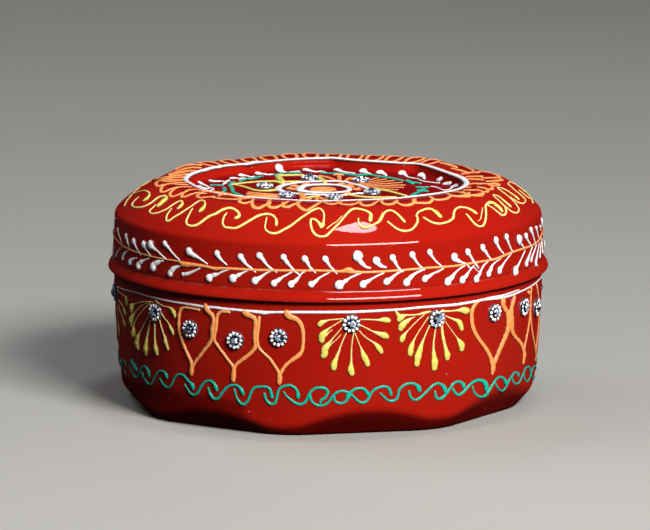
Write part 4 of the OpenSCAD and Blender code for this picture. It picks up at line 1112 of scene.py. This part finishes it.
def loop(az, r0, r1, width, lean, w, tail=True):
    """A closed petal drawn in one pull, from the recess outwards and back."""
    t = np.linspace(0.06, 0.94, 15)
    ph = t * 2 * math.pi
    u = r0 + (r1 - r0) * (0.5 - 0.5 * np.cos(ph))
    v = width / 2 * np.sin(ph) * (0.65 + 0.35 * (0.5 - 0.5 * np.cos(ph)))
    a = math.radians(az)
    a2 = a + (v + lean * (u - r0)) / np.maximum(u, 1)
    ww = w * (0.9 + 0.25 * (0.5 - 0.5 * np.cos(ph)))
    return laid("top", np.stack([u * np.sin(a2), -u * np.cos(a2), ww], 1))


def lines(text, kind, w, wob=0.12):
    """Strokes from rows of x,y in the photograph's frame, w millimetres wide, thinner where the pull starts."""
    out = []
    for part in text.split(";"):
        v = [float(x) for x in part.replace(",", " ").split()]
        if v:
            q = np.array(v).reshape(-1, 2)
            t = np.linspace(0, 1, len(q))
            ww = w * (0.86 + 0.24 * np.sin(np.pi * t) + wob * rng.uniform(-1, 1, len(q)))
            out.append(seen(kind, np.column_stack([q, ww]), 0))
    return out


petals = []
n_pet = 40
az = 131.0
while az < 236.0:
    step_a = 360.0 / n_pet * (1 + rng.uniform(-0.16, 0.16))
    side = abs(math.sin(math.radians(az)))
    r1 = 67.6 + rng.uniform(-1.0, 1.0) + 2.6 * side ** 2
    r0 = float(rec_rho(np.array([math.radians(az - 90)]))[0]) + 1.5 + rng.uniform(-0.2, 0.6)
    lean = 0.25 * math.sin(math.radians(az)) + rng.uniform(-0.08, 0.08)
    petals.append(loop(az + step_a / 2, r0, r1, 7.0 + rng.uniform(-0.5, 0.9), lean, 1.5 + rng.uniform(-0.15, 0.25)))
    az += step_a
WREATH = ("322,201 326,203.5 333,204.5 338,203 340,200.5; 341,201 340,203.5 346,205 354,204.5 359,202 356,200; 359,201 361,204.5 367,206 373,204.5 377,202 380,200.5;"
          "381,200 382,203 388,204.8 394,203.5 397,200.5; 396,202 401,204.8 410,205 414,202.5 413,200; 415,199 415,202 422,203.3 430,202.5 433,199.5;"
          "430,197 434,199.5 440,200 447,198.8 451,196; 447,194 452,196 460,196.3 467,195 469,193; 463,192 468,195 475,195.5 482,194;"
          "240,198 239.5,202 244,203.5 250,202; 253,199 252,204 254,207.5 258,208.5 264,206 270,203; 270,200 268,204 270,207.5 274,208 282,205 288,202;"
          "283,203 283,206.5 287,207.3 293,205 300,202; 298,201 298,205 302,209 306,210.8 311,208.5 317,204.5 322,202;"
          "210,197 218,198.6 230,199.6 241,199.4 250,198.4; 219,196 222,194.8 230,195.6 238,197.4 246,198.2; 203,191.6 212,192.6 222,193.4 231,194.8 239,196.6")
# where the wreath turns away at the sides its petals are drawn long and close together
THICK = ("200,165.6 192,165.2 184,166.6 177,169.4; 200,168.2 192,168 184,169.4 177,172 170,174.6; 195,171 187,171.6 179,173.4 171,175.6;"
         "187,174.4 179,175.8 171,177 164,177.6; 184,177.4 176,178.2 168,178.8 159,179.4 152,179.8; 184,180.2 176,180.8 168,180.6 161,180.6;"
         "441,163.4 448,165 456,167.4; 452,168.8 459,170.6 466,172.4; 463,174.2 470,173.2 478,172.8; 467,177.4 474,177 481,176.9; 468,179.8 475,179.8 482,180.2; 469,184.6 475,184.2 480,184.4")
SIDE = ("185,182.8 176,182.8 167,182 159,181.6 155.8,183.4 156.4,185.6 159.6,186.2 163,184.8; 187,185 178,184.6 169,184.2 164,185.6 161,189 161,192 164.4,192 171,189.2 177,187.4;"
        "191,187.2 184,187.2 177,188 172.4,191 169.8,194.4 170.8,196.6 175,196.2 181,193.6 187,191.6; 197,189.6 191,190 186,191.4 183,194 181.4,197 184.4,197.2 190,195 196,193.2 203,192.6;"
        "206,193.6 199.4,194.2 196.8,196.4 199,197.8 206,197.4 214,196.6;"
        "456,164.6 463,166.4 469,168.6 473,170.6; 480,171.6 487,172.6 494,174.4 499,176.4;"
        "482,178.3 489,178.2 496,177.9 500,177.2; 487,181.7 493,181.3 498.6,180.8 502,180 499.6,178.6;"
        "481,183.6 490,184.2 496,183.8 499.4,184.8 496,185.8 491,185.6; 489.4,185.2 492.2,186.8 492,189 488.6,189.8;"
        "464,187.8 470,187.4; 478,187.3 484,188.3 488,190.2 487,192 483,191.8; 464,190.4 473,190.4 480,190.8 483,193.2 482,195.2 476,196 469,195.2 464.4,193.4;"
        "452,192.2 458,192.3 465,194.2 469,196.4 461,196.8 451,196.4")
OVER = "199,190.2 207,191.4 215,192 223,193 231,194.4 239,196.2 246,197.4"
ornament("orange_wreath", petals + lines(WREATH, TS, 1.7) + lines(THICK, TS, 2.2) + lines(SIDE, TS, 1.45) + lines(OVER, TS, 1.5), M_ORANGE, "lid", "lid_enamel", step=0.6, high=0.8)

# ----------------------------------------------------------------------------
# Rosette on the floor of the recess
# ----------------------------------------------------------------------------
def disc(x, y, r):
    """A round dab of paint, laid as a tight coil."""
    c = hit("floor", np.array([[x, y]]))[0]
    out = []
    for k, rr in enumerate(np.arange(r - 1.0, 0.2, -1.7)):
        a = np.radians(np.linspace(0, 360, max(16, int(rr * 9)) + 1))
        P = np.stack([c[0] + rr * np.cos(a), c[1] + rr * np.sin(a), np.full(len(a), FLOOR_Z)], 1)
        out.append({"kind": "floor", "P": P, "w": np.full(len(a), 2.3), "kw": {"closed": True}})
    return out


def dot(x, y, w):
    return seen("floor", np.array([[x - 0.6, y, w], [x + 0.6, y, w]]), 0)


def closed_line(text, w0, w1):
    """Closed line on the floor; w0 wide at its left end, w1 elsewhere."""
    q = np.array([float(x) for x in text.replace(",", " ").split()]).reshape(-1, 2)
    d = np.hypot(q[:, 0] - q[:, 0].min(), 2.2 * (q[:, 1] - q[q[:, 0].argmin(), 1]))
    ww = w1 + (w0 - w1) * np.exp(-(d / 14.0) ** 2)
    q = np.vstack([q, q[:1]]); ww = np.append(ww, ww[0])
    st = seen("floor", np.column_stack([q, ww]), 0)
    st["kw"] = {"closed": True}
    return st


ROSE_WHITE = ("199.5,182.5,2.4 202,184,2.2 206,185.5,1.4 208,186.5,1; 199,186.5,2.2 203,188,2 207,188.5,1.2 212,187.5,1 213.5,189,1 211,190,1.2; 208.5,180,2.2 211,181,2.4 217,181.3,1.8 223,181.2,1.3 226,182.5,1.1;"
              "224,183.5,1.3 226,181.5,1.6 229,180,1.3; 228.5,178,2 232,178.3,2.4 236.5,178,1.8; 236.5,179,1.4 240,178.7,1.8 245,178,1.2; 238,174.3,2.2 241,175.2,2.6 246,175.6,1.8 251,176.8,1.3 254,176.3,1.2;"
              "253.5,172.3,2 257,173.2,2.6 262,173.8,2.2 268,174.6,1.8 273,174.2,1.3 276,174.5,1; 275.5,169.3,2.8 278.5,169.5,4.2 281,171.5,3.4 286,172.5,1.8 292,171.8,1.4 299,171,1.2;"
              "302,170,2.6 306,170.3,3.6 311,171.3,2.6 316,171.8,1.8 322,171.3,1.5 326,172.5,1.2; 330,172,1.6 333,170.8,2.8 337,170.3,3.6 341,171.5,2.4 347,172.3,1.6 354,173,1.3;"
              "359.5,170.5,2.6 363,171,3.6 366,172.3,2.2 370,173.5,1.2; 376.5,172,2.2 380,172.5,3.4 383,173.3,2.8 386,175,1.2; 399,172.3,2.4 402,173,3.4 404.5,174.3,2.4 407,176.3,1.2 412,177.5,.9 418,178.5,.8 422,180.5,1 428,181.5,.9 434,182.3,.9 439,182.5,.8;"
              "417.5,174.6,2.6 421,174.8,3.4 423.6,176.4,2 424.4,178.4,1; 438.5,179.4,2.4 440.5,178.8,3 442.4,178.2,2.4; 445,183.6,2.2 447.5,183.2,2.7 450,182.9,2.2; 452.5,186.6,2 455,185.8,2.6 457.5,185.2,2;"
              "431,186,.9 436,186.8,.9 440,188.3,.9 444,189.8,.9 448,189.5,.9 452,187.5,1")
ROSE_YELLOW = ("231,184.5,1.7 235,183.8,1.8 242,183,1.8 250,182.2,1.8 258,181.5,1.9 268,181.5,2.4 278,182,2.8 283,183.5,2.2; 232,184,1.4 238,185,1.6 244,186.5,1.8 250,188.5,1.9 254,189.8,1.9 260,190.7,2 268,190.9,2.6 276,190.3,2.8 282,191,2.2;"
               "280,175.5,2.5 290,175.2,2.5 302,175,2.2; 278,176,2.8 280,179,3.1 283,182,2.8; 283,182,2.5 291,181.8,2.5 300,181.5,2.2; 319,177,2.4 321,179,2.6 324,181,2.6 325,182.5,2.2; 308,197.5,2.2 313,196.8,2.4 318,196,2;"
               "373,188,1.6 380,189.3,1.9 390,191.3,2 400,194,2 406,195.5,1.6; 344,194.5,1.8 350,195,2 356,196,2.2 366,197,2 380,197.2,2 395,197,1.8; 346,193.5,1.8 352,195,1.6")
ROSE_GREEN = ("240,181,1.6 246,179,2 252,178.5,2 258,177,2 262,176,1.6; 275,174.5,1.8 282,174,1.8; 285,172.5,1.8 292,172.7,2.2 300,172.5,1.8; 322,173,1.6 330,173.3,1.9 345,174,2.2 355,175,2 368,174.5,2.2 377,176,2 385,177.2,2.2 395,178.8,2.2 402,180.3,1.8;"
              "407,180.5,2.4 412,183,2.8; 415,182.5,1.8 420,183,1.6; 417,187,1.7 427,187,1.7; 425,189,1.6 418,190.5,1.8 427,191,1.7; 421,191,1.7 416,193,1.9 411,195.5,1.6; 229,182,1.6 234,182.5,2 230,185,1.8 232,188,1.8 233,191.5,1.8 237,193.5,1.8 241,195,1.6;"
              "224,187.5,1.8 225,190,1.8 223,191.5,1.5; 211,185,1.4 222,185,1.6")
FAN_R = []
for k, (x1, y1) in enumerate(((378, 177.3), (386, 178.5), (394, 180.0), (401, 182.0), (404.5, 184.4), (402.5, 186.8), (397, 189.2))):
    t = k / 6.0
    x0, y0 = 357.5 + 2.5 * math.sin(math.pi * t), 181.8 + 5.4 * t
    FAN_R.append([(x0, y0, 0.7), (x0 + (x1 - x0) * 0.4, y0 + (y1 - y0) * (0.33 + 0.1 * t), 0.85), (x0 + (x1 - x0) * 0.75, y0 + (y1 - y0) * 0.74, 1.15), (x1, y1, 1.35)])
FAN_L = []
for k, (x1, y1) in enumerate(((249, 191.8), (247.5, 193.2), (248, 194.8), (249.5, 196), (252, 197))):
    x0, y0 = 288.0 - k * 0.5, 194.6 + 0.5 * k
    FAN_L.append([(x0, y0, 0.9), (x0 + (x1 - x0) * 0.5, y0 + (y1 - y0) * 0.42, 1.3), (x1, y1, 1.6)])
white_f = S(ROSE_WHITE, "floor", 0)
white_f.append(closed_line("278,188.5 281,186.5 288,184.5 296,183 305,182 318,181.4 330,181.2 342,181.6 350,183 357,184.8 364,187 369,189.5 371,191 366,193 358,193.5 350,194.5 338,195.5 326,195 315,194.6 305,194.4 295,193.5 285,192 279,190", 3.0, 2.0))
white_f.append(closed_line("299.5,190 301,188 305,186.3 312,185.2 325,184.8 338,185.3 345,186.8 349,188.5 349.5,190 346,191.5 338,192.6 325,193 312,192.6 304,191.8 300.5,191", 3.8, 2.3))
orange_f = disc(323, 189.5, 5.5)
for x, y in ((294, 186.3), (290, 188.5), (295, 189.5), (306, 184.5), (341, 184), (347, 186), (350, 187), (356.5, 189.5), (352, 184.5), (347, 193)):
    orange_f.append(dot(x, y, 3.1 + rng.uniform(-0.2, 0.3)))
orange_f += S("300,193,2.6 302,195,3 303,197,3 302,200,2.4; 335,174.5,1.8 338.5,174.2,2 342,174.5,1.6; 339,175,1.8 339.3,178,2 339.5,181,1.8; 320,175.5,1.6 326,177,2.2 332,179,2.4 337,181,2; 345,181,1.6 350,178,2.1 353,180,1.8", "floor", 0)
for v in FAN_R + FAN_L:
    st = seen("floor", np.array(v, float), 0)
    st["kw"] = {"high": 0.6}
    orange_f.append(st)
yellow_f = S(ROSE_YELLOW, "floor", 0)
green_f = S(ROSE_GREEN, "floor", 0)
# the strip of floor behind the near edge repeats the far side
for grp in (white_f, orange_f, yellow_f, green_f):
    near = []
    for st in grp:
        if st.get("kw", {}).get("closed"):
            continue
        q = moved(st, 180.0)
        if q["P"][:, 1].max() < -21.0 and np.all(np.hypot(q["P"][:, 0], q["P"][:, 1]) < rec_rho(np.arctan2(q["P"][:, 1], q["P"][:, 0])) - 4.0):
            near.append(q)
    grp += near
for st in white_f:
    if "kw" not in st:
        st["w"] = st["w"] * 0.98
ornament("rosette_white", white_f, M_WHITE, "lid", "lid_enamel", high=1.1, ball=True)
ornament("rosette_orange", orange_f, M_ORANGE, "lid", "lid_enamel")
ornament("rosette_yellow", yellow_f, M_YELLOW, "lid", "lid_enamel")
ornament("rosette_green", green_f, M_GREEN, "lid", "lid_enamel")

# ----------------------------------------------------------------------------
# Crystals in their settings
# ----------------------------------------------------------------------------
def foil(name, col_a, col_b, rough, metal=1.0, coat=0.5):
    """Foiled crystal: mirror-like facets with slight unevenness of the foil behind."""
    m, nt, b = new_mat(name)
    L = nt.links.new
    co = coords(nt)
    n = noise(nt, co, 900.0, 2.0, 0.6)
    L(mixc(nt, ramp(nt, n, [(0.35, grey(0.0)), (0.7, grey(1.0))]), col_a, col_b), b.inputs["Base Color"])
    b.inputs["Metallic"].default_value = metal
    L(ramp(nt, n, [(0.3, grey(rough)), (0.7, grey(rough + 0.06))]), b.inputs["Roughness"])
    b.inputs["Coat Weight"].default_value = coat
    b.inputs["Coat Roughness"].default_value = 0.03
    fine = noise(nt, co, 2600.0, 1.0, 0.5)
    L(bump(nt, fine, 0.06, 0.00002), b.inputs["Normal"])
    return m


# four facet tones: bright for painted glints, pale, mid and dark for painted reflections of the surroundings
M_GLINT_TONES = [foil("crystal_bright", (0.97, 0.98, 1.0, 1), (0.90, 0.93, 1.0, 1), 0.16, 0.05),
          foil("crystal_pale", (0.42, 0.56, 0.78, 1), (0.26, 0.38, 0.60, 1), 0.12, 0.4),
          foil("crystal_mid", (0.10, 0.14, 0.22, 1), (0.05, 0.07, 0.12, 1), 0.10, 0.6),
          foil("crystal_dark", (0.018, 0.02, 0.035, 1), (0.008, 0.01, 0.02, 1), 0.10, 0.8)]
# one plated metal in two tones: painted shade on the top faces and the prongs
M_SET_SHADE = foil("setting_metal_painted_shade", (0.05, 0.05, 0.06, 1), (0.014, 0.014, 0.018, 1), 0.3, 0.6, 0.1)


# the same metal lighter, as painted reflection on the side faces of the settings
M_SET_SHEEN = foil("setting_metal_painted_sheen", (0.42, 0.45, 0.52, 1), (0.22, 0.24, 0.29, 1), 0.24, 0.8, 0.2)


def gem(n, R, h_side, h_table, table, tones, flat, rim, girdle):
    """Brilliant-cut crystal on a straight girdle: table, star, kite and girdle facets, side and base."""
    a = np.arange(n) * 2 * math.pi / n
    T = np.stack([table * R * np.cos(a), table * R * np.sin(a), np.full(n, h_table)], 1)
    am = a + math.pi / n
    hm = h_side + (h_table - h_side) * 0.52
    Mm = np.stack([0.79 * R * np.cos(am), 0.79 * R * np.sin(am), np.full(n, hm)], 1)
    ag = np.arange(2 * n) * math.pi / n
    G = np.stack([R * np.cos(ag), R * np.sin(ag), np.full(2 * n, h_side)], 1)
    B = G * [0.93, 0.93, 0]
    V = np.vstack([T, Mm, G, B])
    t, m, g, b = 0, n, 2 * n, 4 * n
    F = [list(range(n))]
    # each facet takes one tone at random, a painted glint or a painted dark reflection
    K = [int(rng.choice(flat))]
    for k in range(n):
        k1 = (k + 1) % n; km = (k - 1) % n
        F.append([t + k, m + k, t + k1]); K.append(int(rng.choice(4, p=tones)))
        F.append([t + k, m + km, g + 2 * k, m + k]); K.append(int(rng.choice(4, p=tones)))
        F.append([m + k, g + 2 * k, g + 2 * k + 1]); K.append(int(rng.choice(rim)))
        F.append([m + k, g + 2 * k + 1, g + (2 * k + 2) % (2 * n)]); K.append(int(rng.choice(rim)))
    for k in range(2 * n):
        k1 = (k + 1) % (2 * n)
        F.append([g + k, b + k, b + k1, g + k1]); K.append(int(rng.choice(girdle)))
    F.append(list(range(b, b + 2 * n))[::-1]); K.append(3)
    return V, F, K


def lathe(prof, n):
    """Closed solid of revolution; first and last points are on the axis."""
    prof = np.asarray(prof, float)
    a = np.arange(n) * 2 * math.pi / n
    V = [[0, 0, prof[0, 1]]]
    for r, z in prof[1:-1]:
        V += [[r * math.cos(x), r * math.sin(x), z] for x in a]
    V.append([0, 0, prof[-1, 1]])
    F = []
    for k in range(n):
        F.append([0, 1 + (k + 1) % n, 1 + k])
    m = len(prof) - 2
    for i in range(m - 1):
        for k in range(n):
            k1 = (k + 1) % n
            F.append([1 + i * n + k, 1 + i * n + k1, 1 + (i + 1) * n + k1, 1 + (i + 1) * n + k])
    last = len(V) - 1
    for k in range(n):
        F.append([last, 1 + (m - 1) * n + k, 1 + (m - 1) * n + (k + 1) % n])
    return np.array(V), F


def bead_ball(x, y, z, r):
    V, F = lathe([(0, -r), (r * 0.75, -r * 0.6), (r, 0), (r * 0.7, r * 0.7), (0, r)], 6)
    return V + [x, y, z], F


SET_BASE, SET_F = lathe([(0, 0), (3.62, 0), (3.7, 0.18), (3.7, 0.62), (3.55, 0.72), (1.95, 0.72), (1.92, 0.95), (1.8, 1.02), (0, 1.02)], 44)


# top faces take the painted shade, the side faces below 0.7 the painted reflection
SET_TONE = [1 if max(SET_BASE[i][2] for i in f) < 0.7 else 0 for f in SET_F]


def frame_wall(az, z):
    a = math.radians(az)
    c, s = math.cos(a), math.sin(a)
    tilt = math.atan(1 / 21.5)
    n = np.array([s * math.cos(tilt), -c * math.cos(tilt), -math.sin(tilt)])
    u = np.array([c, s, 0.0])
    v = np.cross(n, u)
    r = 86.6 + (z - 30) / 21.5
    return np.array([s * r, -c * r, z]), u, v, n


def frame_floor(x, y):
    t = rng.uniform(0, 2 * math.pi)
    return np.array([x, y, FLOOR_Z]), np.array([math.cos(t), math.sin(t), 0]), np.array([-math.sin(t), math.cos(t), 0]), np.array([0, 0, 1.0])


def group(name, frames, body_name):
    parts = {"settings": ([], [], [], "setting_metal"), "centre_crystals": ([], [], [], "centre_crystal"), "ring_crystals": ([], [], [], "ring_crystal")}

    def put(key, V, F, K, fr):
        o, u, v, n = fr
        VV, FF, KK, _ = parts[key]
        off = sum(len(x) for x in VV)
        VV.append(o + V[:, :1] * u + V[:, 1:2] * v + V[:, 2:3] * n)
        FF.extend([[i + off for i in f] for f in F])
        KK.extend(K)
    # lid stones, seen low, get paler painted glints on their sides
    grazing_glints = name == "lid"
    girdle = [0, 1, 2, 2] if grazing_glints else [3]
    for fr in frames:
        ph = rng.uniform(0, 6.28)
        put("settings", SET_BASE, SET_F, SET_TONE, fr)
        for k in range(11):
            a = ph + (k + 0.5) * 2 * math.pi / 11
            for rad, hh, rb in ((3.38, 0.92, 0.24), (1.98, 1.06, 0.18)):
                V, F = bead_ball(rad * math.cos(a), rad * math.sin(a), hh, rb)
                put("settings", V, F, [0] * len(F), fr)
        V, F, K = gem(8, 1.74, 1.22, 1.86, 0.50, (0.24, 0.20, 0.16, 0.40), [1, 1, 2], [3, 3, 2, 0], girdle)
        rot = rng.uniform(0, 6.28)
        V[:, :2] = V[:, :2] @ np.array([[math.cos(rot), math.sin(rot)], [-math.sin(rot), math.cos(rot)]])
        put("centre_crystals", V + [0, 0, 0.5], F, K, fr)
        for k in range(11):
            a = ph + k * 2 * math.pi / 11
            V, F, K = gem(6, 0.82, 0.66, 0.98, 0.62, (0.5, 0.26, 0.12, 0.12) if grazing_glints else (0.86, 0.12, 0.0, 0.02), [0, 0, 0, 1], [0, 2, 3] if grazing_glints else [0, 0, 3], girdle)
            V[:, 1] *= 0.82
            rot = a + rng.uniform(-0.12, 0.12)
            V[:, :2] = V[:, :2] @ np.array([[math.cos(rot), math.sin(rot)], [-math.sin(rot), math.cos(rot)]])
            # each small crystal leans a little, as glued by hand
            tx, ty = rng.normal(0, 0.07, 2)
            V = V @ np.array([[1, 0, -tx], [0, 1, -ty], [tx, ty, 1]])
            put("ring_crystals", V + [2.86 * math.cos(a), 2.86 * math.sin(a), 0.5], F, K, fr)
    for key, (VV, FF, KK, slot) in parts.items():
        mats = [M_SET_SHADE, M_SET_SHEEN] if key == "settings" else M_GLINT_TONES
        o = make_object(name + "_" + key + "_cut", np.vstack(VV), FF, mats, KK, key == "settings")
        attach(o, body_name)
        node = {"settings": name + "_settings", "centre_crystals": name + "_centre_crystals", "ring_crystals": name + "_ring_crystals"}[key]
        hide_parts(node)


FAN_AZ = [-80, -52.2, 6, 29.4, 99.5, 124, 187, 211]
FAN_H = [46, 44.6, 46, 46, 43, 46, 46, 46]
H_AZ = [-39, -25, -13, 49.4, 64.3, 75, 140, 153, 166, 229, 243, 257]
H_Z = [40.4, 37.85, 40.05, 45, 44, 41.1, 41, 39, 41, 42, 39.5, 41.5]
LID_XY = [(-26.1, 6), (-16.7, -17.3), (2.4, -22.9), (17.8, -10), (13.5, 22), (-7.7, 27.3)]
group("fan", [frame_wall(a, z) for a, z in zip(FAN_AZ, FAN_H)], "box_body")
group("heart", [frame_wall(a, z) for a, z in zip(H_AZ, H_Z)], "box_body")
group("lid", [frame_floor(x, y) for x, y in LID_XY], "lid")

# ----------------------------------------------------------------------------
# Plain stage and soft studio light
# ----------------------------------------------------------------------------
me = bpy.data.meshes.new("floor")
me.from_pydata([(-6, -6, 0), (6, -6, 0), (6, 6, 0), (-6, 6, 0)], [], [(0, 1, 2, 3)])
floor = bpy.data.objects.new("floor", me)
bpy.context.scene.collection.objects.link(floor)
fm, fnt, fb = new_mat("floor_paper")
fco = coords(fnt)
fcol = ramp(fnt, noise(fnt, fco, 3.0, 3.0, 0.5), [(0.3, (0.33, 0.322, 0.305, 1)), (0.7, (0.355, 0.347, 0.33, 1))])
fnt.links.new(fcol, fb.inputs["Base Color"])
fb.inputs["Roughness"].default_value = 0.75
me.materials.append(fm)
# the box stands clear of its surroundings: the floor takes its shadow and isn't mirrored in it
floor.visible_glossy = False
floor.visible_diffuse = False

world = bpy.data.worlds.new("studio")
bpy.context.scene.world = world
world.use_nodes = True
wb = world.node_tree.nodes["Background"]
wb.inputs["Color"].default_value = (0.86, 0.90, 1.0, 1)
wb.inputs["Strength"].default_value = 0.038


def area(name, az, el, dist, sx, sy, power, colour=(1, 1, 1), target=(0, 0, 0.05), shape="RECTANGLE", spin=0.0, mirrored=True, lighting=True):
    """Rectangular softbox; azimuth from the front, positive to the right, elevation over the floor, in degrees."""
    d = bpy.data.lights.new(name, "AREA")
    d.shape = shape
    d.size, d.size_y = sx, sy
    d.energy = power
    d.color = colour
    o = bpy.data.objects.new(name, d)
    bpy.context.scene.collection.objects.link(o)
    a, e = math.radians(az), math.radians(el)
    t = Vector(target)
    pos = t + dist * Vector((math.sin(a) * math.cos(e), -math.cos(a) * math.cos(e), math.sin(e)))
    o.location = pos
    o.rotation_euler = ((t - pos).to_track_quat("-Z", "Y") @ Quaternion((0, 0, 1), math.radians(spin))).to_euler()
    o.visible_glossy = mirrored
    o.visible_diffuse = lighting
    return o


area("key_softbox", 28, 33, 2.0, 0.8, 0.5, 76, (1.0, 0.98, 0.95), mirrored=False)
area("key_sheen", 27, 36, 2.0, 1.6, 0.45, 85, (1.0, 0.99, 0.97), lighting=False)
area("top_softbox", 80, 82, 1.5, 0.23, 0.34, 4.8, (0.85, 0.93, 1.0), shape="ELLIPSE", spin=16.0)
area("back_softbox", -125, 50, 2.0, 1.2, 1.0, 11, (1.0, 0.98, 0.97), mirrored=False)

sc = bpy.context.scene
sc.view_settings.view_transform = "Standard"
sc.view_settings.look = "None"
sc.view_settings.exposure = 0.0
sc.view_settings.gamma = 1.0
